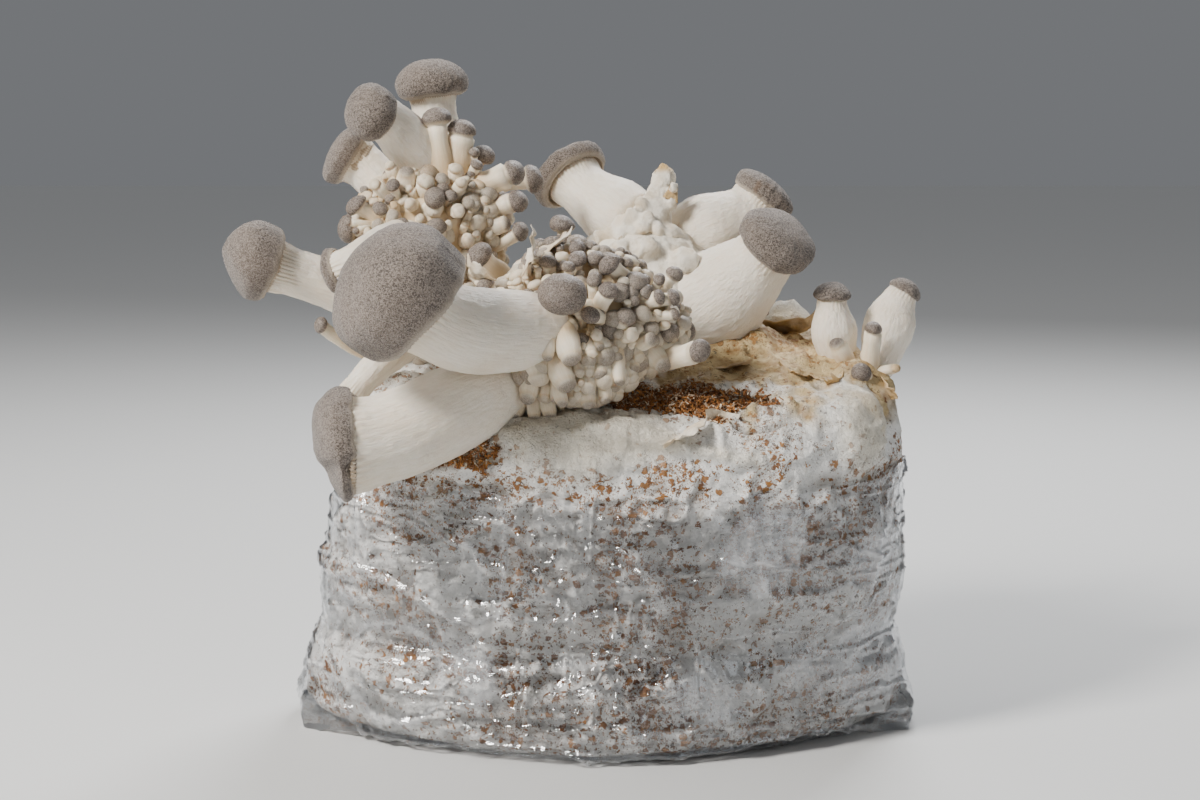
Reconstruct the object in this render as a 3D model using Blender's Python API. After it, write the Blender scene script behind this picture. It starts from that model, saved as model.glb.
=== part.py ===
"""Oyster mushroom grow kit: a bagged block of sawdust with king oyster mushrooms growing from it."""

import math

import bmesh
import bpy
from mathutils import Vector

MM = 0.001
GAP = 0.3  # clearance between pieces that touch, mm
GROWN_GAP = 0.5  # clearance where one rounded growth is shaped to another, mm

# The block of sawdust: half widths, height and the number of segments round it.
BLOCK_HALF_WIDTH = 102.0
BLOCK_HALF_DEPTH = 70.0
BLOCK_SEGMENTS = 26
CORNER_POWER = 2.5  # 2 is an ellipse, more is squarer
FOOT_POWER = 1.6  # the gussets draw the foot in between its four ends
FOOT_HEIGHT = 60.0  # above this the foot has its full shape
LEFT_LEAN = 11.0  # how far the left side leans in on its way up
FLOOR_CLEARANCE = 1.2  # the film under the block
TOP_CREST = 127.0  # highest level of the block's top
TOP_CREST_Y = 38.0  # the top is highest behind the middle
TOP_FALL = 27.0  # how far the top falls towards the front

# The film bag.
FILM_THICKNESS = 0.8
FILM_RIM = 87.0  # height of its cut edge
FILM_SLACK = 0.1  # play between film and block on top of the gap

# Levels round the block: height and how far the side stands in from the full size.
SIDE_LEVELS = [(0.0, 5.0), (2.5, 1.0), (9.0, 0.0), (22.0, 1.5), (33.0, 5.5), (48.0, 3.0), (68.0, 3.5),
               (FILM_RIM, 4.0)]
SHOULDER_FRACTIONS = [(0.50, 4.5), (0.86, 8.0), (0.98, 16.0)]  # share of the way up to the top, inset
TOP_RINGS = [0.72, 0.48, 0.24]  # rings across the top, as a share of the shoulder's size

# Mushrooms: foot and neck are the ends of the stem, "facing" is the way the cap looks, radii run
# from the foot to the neck, and "cap" is the cap's radius and height. All in mm.
MUSHROOMS = {
    "crown": dict(foot=(-54, 12, 178), neck=(-58.5, 14, 208.5), facing=(-0.10, -0.06, 1.0),
                  radii=(6.5, 8.0, 7.6, 7.0), cap=(12.4, 11.5)),
    "round": dict(foot=(-56, 2, 181), neck=(-74, -12, 201), facing=(-0.66, -0.62, 0.38),
                  radii=(7.0, 8.4, 8.2, 6.4), cap=(9.3, 11.0)),
    "shoulder": dict(foot=(-66, 2, 166), neck=(-85, 10, 187), facing=(-0.85, -0.05, 0.52),
                     radii=(6.0, 6.6, 7.4, 7.6), cap=(10.8, 8.0)),
    "far": dict(foot=(-62, -14, 138), neck=(-108, -30, 154), facing=(-0.90, -0.25, 0.34),
                radii=(10.5, 10.0, 8.0, 7.4), cap=(12.6, 15.0)),
    "tucked": dict(foot=(-64, -20, 163), neck=(-84, -41, 153), facing=(-0.84, 0.36, -0.34),
                   radii=(6.0, 7.0, 6.5, 5.6), cap=(7.4, 4.5)),
    "great": dict(foot=(-14, -52, 134), neck=(-57, -85, 145), facing=(-0.69, -0.33, 0.65),
                  radii=(11.0, 12.6, 13.0, 11.5), cap=(21.0, 24.0)),
    "trumpet": dict(foot=(-24, -48, 121), neck=(-79, -76, 102), facing=(-0.96, -0.24, -0.08),
                    radii=(6.5, 12.8, 13.6, 13.2), cap=(17.2, 9.5)),
    "hidden": dict(foot=(-60, -30, 134), neck=(-80, -50, 114), facing=(-0.55, -0.30, -0.75),
                   radii=(5.0, 4.6, 4.0, 3.6), cap=(5.5, 3.5)),
    "back": dict(foot=(12, 22, 162), neck=(-11, 40, 179), facing=(-0.58, 0.50, 0.64),
                 radii=(11.5, 12.5, 10.0, 8.6), cap=(14.4, 8.0)),
    "rear": dict(foot=(26, 26, 160), neck=(53, 32, 172), facing=(0.62, 0.10, 0.76),
                 radii=(13.5, 13.5, 11.0, 8.4), cap=(11.4, 8.0)),
    "right": dict(foot=(23, 12, 128), neck=(55, -6, 158), facing=(0.46, -0.46, 0.70),
                  radii=(12.5, 17.0, 14.0, 8.4), cap=(13.2, 10.0)),
    "nested": dict(foot=(45, 24, 120), neck=(52, 25, 137), facing=(0.92, 0.10, 0.38),
                   radii=(3.6, 4.2, 3.8, 3.2), cap=(5.2, 3.2)),
    "left_twin": dict(foot=(79, -3, 110), neck=(75, -4, 141), facing=(-0.02, -0.08, 1.0),
                      radii=(3.0, 5.2, 7.4, 3.8), cap=(6.4, 5.2)),
    "right_twin": dict(foot=(90, 1, 112), neck=(100, 5, 142), facing=(0.52, 0.05, 0.80),
                       radii=(3.5, 7.0, 8.6, 4.2), cap=(5.8, 4.6)),
}

# Larger pins, each grown in one piece: foot, tip, stem radii at the foot and neck, cap radius.
PINS = {
    "nub": dict(foot=(-53, -7, 180), tip=(-56, -6, 204), radii=(2.2, 3.6), cap=4.9),
    "bud": dict(foot=(-50, -3, 182), tip=(-47, -4, 200), radii=(5.0, 3.6), cap=4.5),
    "sideways": dict(foot=(-46, -4, 176), tip=(-27, -6, 184), radii=(5.4, 3.8), cap=4.7),
    "behind": dict(foot=(-44, 10, 176), tip=(-21, 8, 180), radii=(4.0, 3.4), cap=4.8),
    "lower": dict(foot=(-42, -6, 168), tip=(-26, -12, 174), radii=(4.4, 3.4), cap=4.2),
    "lowest": dict(foot=(-44, -6, 156), tip=(-26, -12, 165), radii=(3.0, 2.8), cap=3.6),
    "resting": dict(foot=(-34, -26, 150), tip=(-42, -38, 159), radii=(3.6, 3.4), cap=4.4),
    "ball": dict(foot=(-13, -56, 142), tip=(-15, -79, 149), radii=(4.0, 4.0), cap=7.0),
    "lookout": dict(foot=(-14, -34, 150), tip=(-15, -36, 170), radii=(2.6, 2.6), cap=4.3),
    "sprout": dict(foot=(-72, -30, 124), tip=(-91, -46, 137), radii=(2.6, 2.2), cap=2.8),
    "pushed": dict(foot=(15, -44, 126), tip=(31, -60, 130), radii=(4.4, 3.4), cap=3.8),
    "small_twin": dict(foot=(85, -8, 110), tip=(88, -14, 134), radii=(4.4, 3.2), cap=3.2),
    "thumb": dict(foot=(81, -7, 116), tip=(75, -14, 128), radii=(3.2, 2.0), cap=2.0),
    "knuckle": dict(foot=(85, -8, 112), tip=(82, -24, 119), radii=(3.6, 3.2), cap=3.4),
    "stub": dict(foot=(86, -6, 114), tip=(97, -14, 119), radii=(3.2, 1.6), cap=1.7),
}

# Lumps joined into one grown mass: centre, radii.
UPPER_LUMPS = [((-58, -4, 167), (29, 19, 20)), ((-54, -2, 141), (23, 21, 30)), ((-40, -2, 166), (9, 11, 12)),
               ((-66, -12, 160), (17, 14, 14))]
FRONT_LUMPS = [((-8, -44, 139), (30, 21, 23)), ((-12, -50, 124), (25, 20, 15)),
               ((14, -40, 134), (15, 15, 16)), ((-28, -46, 136), (15, 18, 17)),
               ((-14, -38, 152), (15, 13, 13))]
MOUND_LUMPS = [((12, 16, 126), (33, 27, 42)), ((2, 18, 134), (24, 22, 30)), ((40, 16, 122), (20, 18, 12))]
KNOB_LUMPS = [((15, 14, 164), (8.5, 7.5, 10)), ((18, 17, 172), (5.6, 5.4, 8)), ((20, 20, 180), (4.6, 4.4, 6))]
VOXEL = 7.2
KNOB_VOXEL = 3.2

# Pieces that grow tight against another stem or pin and are shaped to it.
GROWN_AGAINST = {
    "back_stem": ["aborted_knob"],
    "rear_stem": ["aborted_knob", "back_stem"],
    "right_stem": ["rear_stem"],
    "nested_stem": ["right_stem"],
    "crown_stem": ["round_stem"],
    "nub_pin": ["round_stem"],
    "bud_pin": ["round_stem", "nub_pin"],
    "ball_pin": ["great_stem"],
    "trumpet_stem": ["great_stem"],
    "thumb_pin": ["left_twin_stem", "small_twin_pin"],
    "knuckle_pin": ["small_twin_pin"],
    "stub_pin": ["small_twin_pin"],
}

FUNGUS_WHITE = (0.78, 0.73, 0.64)
STEM_CREAM = (0.80, 0.74, 0.63)
CAP_GREY = (0.20, 0.165, 0.14)
SAWDUST = (0.55, 0.46, 0.38)
FILM_CLEAR = (0.85, 0.87, 0.90)


def clear_scene():
    for thing in list(bpy.data.objects):
        bpy.data.objects.remove(thing, do_unlink=True)


def material(name, colour, roughness):
    made = bpy.data.materials.new(name)
    made.use_nodes = True
    shader = made.node_tree.nodes["Principled BSDF"]
    shader.inputs["Base Color"].default_value = (*colour, 1.0)
    shader.inputs["Roughness"].default_value = roughness
    shader.inputs["Metallic"].default_value = 0.0
    return made


def add_object(name, bm, surface):
    """Turn a bmesh in mm into a smooth-shaded object in metres."""
    bmesh.ops.recalc_face_normals(bm, faces=bm.faces)
    bmesh.ops.scale(bm, vec=(MM, MM, MM), verts=bm.verts)
    mesh = bpy.data.meshes.new(name)
    bm.to_mesh(mesh)
    bm.free()
    mesh.shade_smooth()
    thing = bpy.data.objects.new(name, mesh)
    thing.data.materials.append(surface)
    bpy.context.scene.collection.objects.link(thing)
    return thing


def loft(bm, rings, tips):
    """Skin a run of rings of equal size and close it at both ends with a point."""
    loops = [[bm.verts.new(point) for point in ring] for ring in rings]
    count = len(loops[0])
    for lower, upper in zip(loops, loops[1:]):
        for i in range(count):
            j = (i + 1) % count
            bm.faces.new((lower[i], lower[j], upper[j], upper[i]))
    for loop, tip in zip((loops[0], loops[-1]), tips):
        if tip is None:
            continue
        point = bm.verts.new(tip)
        for i in range(count):
            bm.faces.new((loop[i], loop[(i + 1) % count], point))


def ring_around(centre, axis, radius, sides):
    """Points of a circle square to the axis, turned the same way for every axis near the last."""
    turn = Vector((0, 0, 1)).rotation_difference(axis)
    return [centre + turn @ Vector((radius * math.cos(a), radius * math.sin(a), 0.0))
            for a in (2 * math.pi * i / sides for i in range(sides))]


def blend(values, share):
    """Smooth value a share of the way along a short list."""
    place = share * (len(values) - 1)
    low = min(int(place), len(values) - 2)
    part = place - low
    part = part * part * (3 - 2 * part)
    return values[low] * (1 - part) + values[low + 1] * part


# ---- block and bag ----

def outline(inset, level):
    """Rounded outline of the block, drawn in by inset, as points at one height."""
    points = []
    power = CORNER_POWER - (CORNER_POWER - FOOT_POWER) * max(0.0, 1 - level / FOOT_HEIGHT)
    for i in range(BLOCK_SEGMENTS):
        angle = 2 * math.pi * i / BLOCK_SEGMENTS
        c, s = math.cos(angle), math.sin(angle)
        x = math.copysign(abs(c) ** (2 / power), c) * (BLOCK_HALF_WIDTH - inset)
        y = math.copysign(abs(s) ** (2 / power), s) * (BLOCK_HALF_DEPTH - inset)
        lean = LEFT_LEAN * max(0.0, level - 25.0) / 65.0 if x < 0 else 0.0
        points.append(Vector((x + lean * abs(c), y, level)))
    return points


def top_height(x, y):
    """Height of the domed top, highest behind the middle and lower at both sides."""
    back = (y - TOP_CREST_Y) / (BLOCK_HALF_DEPTH + TOP_CREST_Y)
    return TOP_CREST - TOP_FALL * back * back - 6.0 * abs(x / BLOCK_HALF_WIDTH) ** 3


def build_block(surface):
    bm = bmesh.new()
    rings = [[p + Vector((0, 0, FLOOR_CLEARANCE)) for p in outline(inset, level)]
             for level, inset in SIDE_LEVELS]
    edge_level = SIDE_LEVELS[-1][0]
    for share, inset in SHOULDER_FRACTIONS:
        ring = outline(inset, edge_level)
        for p in ring:
            p.z = edge_level + (top_height(p.x, p.y) - edge_level) * share
        rings.append(ring)
    for scale in TOP_RINGS:
        ring = [Vector((p.x * scale, p.y * scale, 0)) for p in outline(SHOULDER_FRACTIONS[-1][1], FILM_RIM)]
        for p in ring:
            p.z = top_height(p.x, p.y)
        rings.append(ring)
    loft(bm, rings, (Vector((0, 0, FLOOR_CLEARANCE)), Vector((0, 0, top_height(0, 0)))))
    return add_object("substrate_block", bm, surface)


def build_bag(surface):
    """Film shell: the block's own side, drawn out by the gap, then thickened outwards."""
    bm = bmesh.new()
    floor = FLOOR_CLEARANCE - GAP - FILM_SLACK
    rings = [outline(inset - GAP - FILM_SLACK, floor + level) for level, inset in SIDE_LEVELS]
    loft(bm, rings, (Vector((0, 0, floor)), None))
    bag = add_object("grow_bag", bm, surface)
    shell = bag.modifiers.new("film", "SOLIDIFY")
    shell.thickness = FILM_THICKNESS * MM
    shell.offset = 1.0
    return bag


# ---- grown masses ----

def build_mass(name, lumps, voxel, surface):
    """Ellipsoid lumps fused into one body by a voxel remesh."""
    bm = bmesh.new()
    for centre, radii in lumps:
        made = bmesh.ops.create_icosphere(bm, subdivisions=3, radius=1.0)
        bmesh.ops.scale(bm, vec=radii, verts=made["verts"])
        bmesh.ops.translate(bm, vec=centre, verts=made["verts"])
    thing = add_object(name, bm, surface)
    remesh = thing.modifiers.new("fuse", "REMESH")
    remesh.mode = "VOXEL"
    remesh.voxel_size = voxel * MM
    remesh.use_smooth_shade = True
    return thing


# ---- mushrooms ----

def stem_rings(foot, neck, facing, radii, sides, stations):
    """Rings along a stem that leaves its foot towards the neck and bends to meet the cap squarely."""
    reach = (neck - foot).length
    hand = foot.lerp(neck, 0.35)
    late = neck - facing * reach * 0.35
    rings = []
    for k in range(stations + 1):
        t = k / stations
        s = 1 - t
        point = foot * s ** 3 + hand * 3 * t * s * s + late * 3 * t * t * s + neck * t ** 3
        slope = (hand - foot) * s * s + (late - hand) * 2 * t * s + (neck - late) * t * t
        rings.append(ring_around(point, slope.normalized(), blend(radii, t), sides))
    return rings


def build_stem(name, foot, neck, facing, radii, surface, sides, stations=5):
    bm = bmesh.new()
    rings = stem_rings(foot, neck, facing, radii, sides, stations)
    loft(bm, rings, (foot + (foot - neck).normalized() * radii[0] * 0.4, neck))
    return add_object(name, bm, surface)


def build_cap(name, seat, facing, radius, height, surface, sides):
    """Turned cap: domed on top, rolled at the rim, hollowed a little round the neck."""
    profile = [(0.80, 0.0), (0.94, -0.04), (1.0, 0.12), (0.92, 0.45), (0.68, 0.78), (0.34, 0.96)]
    bm = bmesh.new()
    rings = [ring_around(seat + facing * height * up, facing, radius * out, sides) for out, up in profile]
    loft(bm, rings, (seat, seat + facing * height))
    return add_object(name, bm, surface)


def build_mushroom(name, foot, neck, facing, radii, cap, stem_surface, cap_surface):
    """One mushroom as two pieces, a stem and the cap that sits on its neck."""
    facing = Vector(facing).normalized()
    foot, neck = Vector(foot), Vector(neck)
    radius, height = cap
    sides = 12 if radius > 10 else 10
    stem = build_stem(name + "_stem", foot, neck, facing, radii, stem_surface, sides)
    cap_piece = build_cap(name + "_cap", neck + facing * GAP, facing, radius, height, cap_surface, sides)
    return stem, cap_piece


def build_pin(name, foot, tip, radii, cap, surface, sides=8):
    """One small pin: a stem that widens into a round head, in one piece."""
    foot, tip = Vector(foot), Vector(tip)
    axis = (tip - foot).normalized()
    neck_at = tip - axis * cap * 1.15
    rings = [ring_around(foot, axis, radii[0], sides),
             ring_around(foot.lerp(neck_at, 0.5), axis, (radii[0] + radii[1]) / 2, sides),
             ring_around(neck_at, axis, radii[1] * 0.92, sides)]
    for angle in (-10, 25, 60):
        across, along = math.cos(math.radians(angle)), math.sin(math.radians(angle))
        rings.append(ring_around(tip - axis * cap * 0.72 * (1 - along), axis, cap * across, sides))
    bm = bmesh.new()
    loft(bm, rings, (foot - axis * radii[0] * 0.3, tip))
    return add_object(name, bm, surface)


# ---- fitting pieces together ----

def clearance_of(thing):
    """Cutter: a copy of a piece, as it is shaped now, swollen by the gap."""
    graph = bpy.context.evaluated_depsgraph_get()
    mesh = bpy.data.meshes.new_from_object(thing.evaluated_get(graph))
    for vertex, normal in zip(mesh.vertices, [v.normal.copy() for v in mesh.vertices]):
        vertex.co += normal * GROWN_GAP * MM
    cutter = bpy.data.objects.new(thing.name + "_clearance", mesh)
    cutter.hide_render = True
    cutter.display_type = "WIRE"
    bpy.context.scene.collection.objects.link(cutter)
    return cutter


def trim(thing, cutters):
    for cutter in cutters:
        cut = thing.modifiers.new("clear of " + cutter.name, "BOOLEAN")
        cut.operation = "DIFFERENCE"
        cut.solver = "EXACT"
        cut.object = cutter


def main():
    clear_scene()
    white = material("mycelium", FUNGUS_WHITE, 0.75)
    cream = material("stem_flesh", STEM_CREAM, 0.6)
    grey = material("cap_felt", CAP_GREY, 0.85)
    sawdust = material("substrate", SAWDUST, 0.85)
    film = material("clear_film", FILM_CLEAR, 0.12)

    pieces = {
        "substrate_block": build_block(sawdust),
        "grow_bag": build_bag(film),
        "mycelium_mound": build_mass("mycelium_mound", MOUND_LUMPS, VOXEL, white),
        "upper_cluster": build_mass("upper_cluster", UPPER_LUMPS, VOXEL, cream),
        "front_cluster": build_mass("front_cluster", FRONT_LUMPS, VOXEL, cream),
        "aborted_knob": build_mass("aborted_knob", KNOB_LUMPS, KNOB_VOXEL, white),
    }
    ground = []
    for name in ("substrate_block", "mycelium_mound", "upper_cluster", "front_cluster"):
        trim(pieces[name], ground)
        ground.append(clearance_of(pieces[name]))
    trim(pieces["aborted_knob"], ground)

    for name, shape in MUSHROOMS.items():
        stem, cap = build_mushroom(name, stem_surface=cream, cap_surface=grey, **shape)
        pieces[stem.name] = stem
    for name, shape in PINS.items():
        pin = build_pin(name + "_pin", surface=cream, **shape)
        pieces[pin.name] = pin
    for name, piece in pieces.items():
        if name.endswith(("_stem", "_pin")):
            trim(piece, ground)
    for name, neighbours in GROWN_AGAINST.items():
        trim(pieces[name], [clearance_of(pieces[other]) for other in neighbours])


main()
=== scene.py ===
import math
import bmesh
import bpy
import numpy as np
from mathutils import Matrix, Vector
from mathutils.bvhtree import BVHTree


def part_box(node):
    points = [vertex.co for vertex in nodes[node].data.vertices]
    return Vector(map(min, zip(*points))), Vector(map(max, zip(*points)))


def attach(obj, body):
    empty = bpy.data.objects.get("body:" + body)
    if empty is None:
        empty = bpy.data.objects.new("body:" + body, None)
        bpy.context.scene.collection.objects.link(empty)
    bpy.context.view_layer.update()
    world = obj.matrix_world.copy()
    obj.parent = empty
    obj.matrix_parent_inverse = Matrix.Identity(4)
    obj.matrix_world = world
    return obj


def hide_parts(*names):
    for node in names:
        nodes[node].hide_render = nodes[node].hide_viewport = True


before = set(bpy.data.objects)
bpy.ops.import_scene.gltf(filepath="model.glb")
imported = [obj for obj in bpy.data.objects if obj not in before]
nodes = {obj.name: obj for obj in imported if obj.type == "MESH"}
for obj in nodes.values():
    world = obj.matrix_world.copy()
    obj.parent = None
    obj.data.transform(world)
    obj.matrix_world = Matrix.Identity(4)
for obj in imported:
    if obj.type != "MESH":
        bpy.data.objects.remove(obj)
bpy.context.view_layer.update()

mm = 0.001
print("frame loaded:", len(nodes), "nodes")


def boxOf(node):
    low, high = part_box(node)
    return np.array(low), np.array(high)


def unit(v):
    v = np.asarray(v, float)
    return v / np.linalg.norm(v)


def ease(x, low, high):  # smooth step from 0 at low to 1 at high
    t = np.clip((np.asarray(x, float) - low) / (high - low), 0, 1)
    return t * t * (3 - 2 * t)


def latticeValue(i, j, k, seed):  # one repeatable value from -1 to 1 for each lattice point
    h = (i * 73856093) ^ (j * 19349663) ^ (k * 83492791) ^ (seed * 2654435)
    h = (h ^ (h >> 13)) * 1274126177 & 0x7FFFFFFF
    h = (h ^ (h >> 16)) & 0xFFFF
    return h / 32767.5 - 1


def softNoise(points, size, seed=0):  # smooth noise with lumps about one size across, in metres
    q = np.asarray(points, float) / np.asarray(size, float)
    cell = np.floor(q).astype(np.int64)
    f = q - cell
    f = f * f * f * (f * (f * 6 - 15) + 10)
    total = np.zeros(len(q))
    for dx in (0, 1):
        for dy in (0, 1):
            for dz in (0, 1):
                step = np.array([dx, dy, dz])
                x, y, z = np.where(step, f, 1 - f).T
                total += x * y * z * latticeValue(*(cell + step).T, seed)
    return total


def roughNoise(points, size, seed=0, octaves=3, fade=0.5):
    total, strength = np.zeros(len(points)), 1.0
    for k in range(octaves):
        total += strength * softNoise(points, np.asarray(size) / 2 ** k, seed + 17 * k)
        strength *= fade
    return total


def ridges(points, size, seed=0):  # 1 along thin wandering lines, 0 between them
    return np.clip(1 - np.abs(softNoise(points, size, seed)) * 3.2, 0, 1)


def placed(name, data):
    thing = bpy.data.objects.new(name, data)
    bpy.context.scene.collection.objects.link(thing)
    return thing


def listed(things, key):  # one value of each of many things, as an array
    return np.array([getattr(thing, key)[:] for thing in things])


def fullTurn(count):
    return np.linspace(0, 2 * math.pi, count, endpoint=False)


def makeMesh(name, points, faces, masks=None, coords=None, smooth=True):
    mesh = bpy.data.meshes.new(name)
    mesh.from_pydata([tuple(p) for p in points], [], faces)
    for group, kind, field in ((masks, "FLOAT", "value"), (coords, "FLOAT_VECTOR", "vector")):
        for key, values in (group or {}).items():
            made = mesh.attributes.new(key, kind, "POINT")
            made.data.foreach_set(field, np.asarray(values, np.float32).ravel())
    if smooth:
        mesh.shade_smooth()
    mesh.update()
    return placed(name, mesh)


def tubeFaces(rows, cols, start=0, closeFirst=True, closeLast=True):
    # quads round a stack of rings, and a fan to the single points that follow them
    faces = []
    for r in range(rows - 1):
        a, b = start + r * cols, start + (r + 1) * cols
        for c in range(cols):
            d = (c + 1) % cols
            faces.append((a + c, a + d, b + d, b + c))
    extra = start + rows * cols
    if closeFirst:
        faces += [(start + (c + 1) % cols, start + c, extra) for c in range(cols)]
        extra += 1
    if closeLast:
        last = start + (rows - 1) * cols
        faces += [(last + c, last + (c + 1) % cols, extra) for c in range(cols)]
    return faces


def sideVectors(axis):
    helper = np.array([0.0, 1.0, 0.0]) if abs(axis[1]) < 0.9 else np.array([1.0, 0.0, 0.0])
    across = unit(np.cross(helper, axis))
    return across, np.cross(axis, across)


def finishPiece(thing, surface, slotName, *replaced):
    thing.data.materials.append(surface)
    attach(thing, "root")
    if replaced:
        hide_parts(*replaced)
    return thing


def bvhOf(*names):
    points, faces = [], []
    for name in names:
        mesh = nodes[name].data
        base = len(points)
        points += [tuple(v.co) for v in mesh.vertices]
        faces += [tuple(base + i for i in p.vertices) for p in mesh.polygons]
    return BVHTree.FromPolygons(points, faces)


def feed(tree, socket, value):
    if isinstance(value, bpy.types.NodeSocket):
        tree.links.new(value, socket)
    elif isinstance(value, tuple) and len(value) == 3 and socket.type == "RGBA":
        socket.default_value = (*value, 1)
    else:
        socket.default_value = value


def add(tree, kind, inputs, **settings):
    made = tree.nodes.new("ShaderNode" + kind)
    for key, value in settings.items():
        setattr(made, key, value)
    for key, value in inputs.items():
        feed(tree, made.inputs[key], value)
    return made


def sums(operation):  # a function that adds one step of arithmetic to a shader
    return lambda tree, a, b, clamp=False: add(
        tree, "Math", {0: a, 1: b}, operation=operation, use_clamp=clamp).outputs[0]


times, plus, minus, over, isUnder = map(sums, ("MULTIPLY", "ADD", "SUBTRACT", "DIVIDE", "LESS_THAN"))


def noise(tree, place, scale, detail, roughness=0.5, distortion=0.0):
    return add(tree, "TexNoise", {"Vector": place, "Scale": scale, "Detail": detail, "Roughness": roughness,
                                  "Distortion": distortion}).outputs[0]


def rampUp(tree, value, low, high):
    made = add(tree, "MapRange", {"Value": value, "From Min": low, "From Max": high},
               interpolation_type="SMOOTHSTEP")
    return made.outputs["Result"]


def layer(tree, base, colour, *shares):  # a colour laid over the base, as strongly as its shares multiplied
    factor = shares[0]
    for share in shares[1:]:
        factor = times(tree, factor, share)
    return add(tree, "Mix", {0: factor, 6: base, 7: colour}, data_type="RGBA").outputs[2]


def newGroup(name, inputs, outputs):  # an input without a value is a vector; all else is a plain value
    group = bpy.data.node_groups.new(name, "ShaderNodeTree")
    for label, value in inputs.items():
        kind = "NodeSocketVector" if value is None else "NodeSocketFloat"
        socket = group.interface.new_socket(label, in_out="INPUT", socket_type=kind)
        if value is not None:
            socket.default_value = value
    for label in outputs:
        group.interface.new_socket(label, in_out="OUTPUT", socket_type="NodeSocketFloat")
    return group, group.nodes.new("NodeGroupInput").outputs, group.nodes.new("NodeGroupOutput").inputs


def useGroup(tree, group, **inputs):
    made = tree.nodes.new("ShaderNodeGroup")
    made.node_tree = group
    for key, value in inputs.items():
        feed(tree, made.inputs[key], value)
    return made.outputs


def attribute(tree, name, kind="Fac"):
    return add(tree, "Attribute", {}, attribute_name=name).outputs[kind]


def bumpOf(tree, height, strength, distance):
    return add(tree, "Bump", {"Strength": strength, "Distance": distance, "Height": height}).outputs[0]


def newSurface(name, settings):
    made = bpy.data.materials.new(name)
    made.use_nodes = True
    tree = made.node_tree
    shader = tree.nodes["Principled BSDF"]
    for key, value in settings.items():
        feed(tree, shader.inputs[key], value)
    return made, tree, shader, add(tree, "TexCoord", {}).outputs["Object"]


def dress(tree, shader, colour, height, strength, distance):
    feed(tree, shader.inputs["Base Color"], colour)
    feed(tree, shader.inputs["Normal"], bumpOf(tree, height, strength, distance))


# felt: pale curly fibres over a darker ground
feltGroup, gIn, gOut = newGroup(
    "feltFibres", dict(Place=None, Fineness=1100.0, Cover=0.5), ("Pale", "Height"))
curl = noise(feltGroup, gIn["Place"], gIn["Fineness"], 1.5, 0.5, 1.1)
edge = minus(feltGroup, 1.0, gIn["Cover"])
softEdge = [minus(feltGroup, edge, 0.10), plus(feltGroup, edge, 0.10)]
feed(feltGroup, gOut["Pale"], rampUp(feltGroup, curl, *softEdge))
feed(feltGroup, gOut["Height"], curl)

# flecks: irregular crumbs strewn over a surface
fleckGroup, gIn, gOut = newGroup(
    "strewnFlecks", dict(Place=None, Closeness=300.0, Share=0.4, Size=0.4), ("Mask", "Tone"))
closer = times(fleckGroup, gIn["Closeness"], 1.7)
wobble = add(fleckGroup, "TexNoise", {"Vector": gIn["Place"], "Scale": closer, "Detail": 2.0})
shift = add(fleckGroup, "VectorMath", {0: wobble.outputs["Color"], 1: (0.5, 0.5, 0.5)}, operation="SUBTRACT")
scaled = add(fleckGroup, "VectorMath", {0: shift.outputs[0], "Scale": 0.0034}, operation="SCALE")
moved = add(fleckGroup, "VectorMath", {0: gIn["Place"], 1: scaled.outputs[0]}, operation="ADD")
cells = add(fleckGroup, "TexVoronoi", {"Vector": moved.outputs[0], "Scale": gIn["Closeness"]})
pick = add(fleckGroup, "SeparateColor", {0: cells.outputs["Color"]}).outputs
reach = times(fleckGroup, gIn["Size"], plus(fleckGroup, pick[1], 0.45))
inside = rampUp(fleckGroup, cells.outputs["Distance"], reach, times(fleckGroup, reach, 0.72))
feed(fleckGroup, gOut["Mask"], times(fleckGroup, inside, isUnder(fleckGroup, pick[0], gIn["Share"])))
feed(fleckGroup, gOut["Tone"], pick[2])

# flesh: long fine fibres that follow a stem
fleshGroup, gIn, gOut = newGroup(
    "fleshFibres", dict(Along=None, Place=None, Fineness=1.0), ("Line", "Blush", "Height"))
fibre = noise(fleshGroup, gIn["Along"], gIn["Fineness"], 5.0, 0.6, 0.4)
blotch = noise(fleshGroup, gIn["Place"], 90.0, 3.0)
pores = noise(fleshGroup, gIn["Place"], 1500.0, 3.0, 0.7)
feed(fleshGroup, gOut["Line"], rampUp(fleshGroup, fibre, 0.35, 0.7))
feed(fleshGroup, gOut["Blush"], rampUp(fleshGroup, blotch, 0.35, 0.75))
feed(fleshGroup, gOut["Height"],
     plus(fleshGroup, times(fleshGroup, fibre, 0.7), times(fleshGroup, pores, 0.3)))
print("shader groups made")


def makeCapSurface():
    look = dict(dark=(0.052, 0.039, 0.031), warm=(0.10, 0.074, 0.057), pale=(0.29, 0.242, 0.203),
                rim=(0.50, 0.42, 0.33), under=(0.36, 0.25, 0.15), gill=(0.66, 0.55, 0.41),
                bruise=(0.13, 0.075, 0.04))
    made, tree, shader, place = newSurface(
        "capFelt", {"Roughness": 0.88, "Sheen Weight": 0.22, "Sheen Roughness": 0.5})
    felt = useGroup(tree, feltGroup, Place=place, Fineness=2300.0, Cover=0.50)
    ground = layer(tree, look["dark"], look["warm"], rampUp(tree, noise(tree, place, 75.0, 2.0), 0.3, 0.7))
    top = layer(tree, ground, look["pale"], felt["Pale"], 0.88)
    for key in ("rim", "bruise"):
        top = layer(tree, top, look[key], attribute(tree, key), 0.75)
    below = layer(tree, look["under"], look["gill"], attribute(tree, "gill"))
    dress(tree, shader, layer(tree, top, below, attribute(tree, "under")), felt["Height"], 0.9, 0.0006)
    return made


def fleshSettings(roughness, depth):
    return {"Roughness": roughness, "Subsurface Weight": 0.15, "Subsurface Radius": (1.0, 0.6, 0.35),
            "Subsurface Scale": depth}


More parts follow.
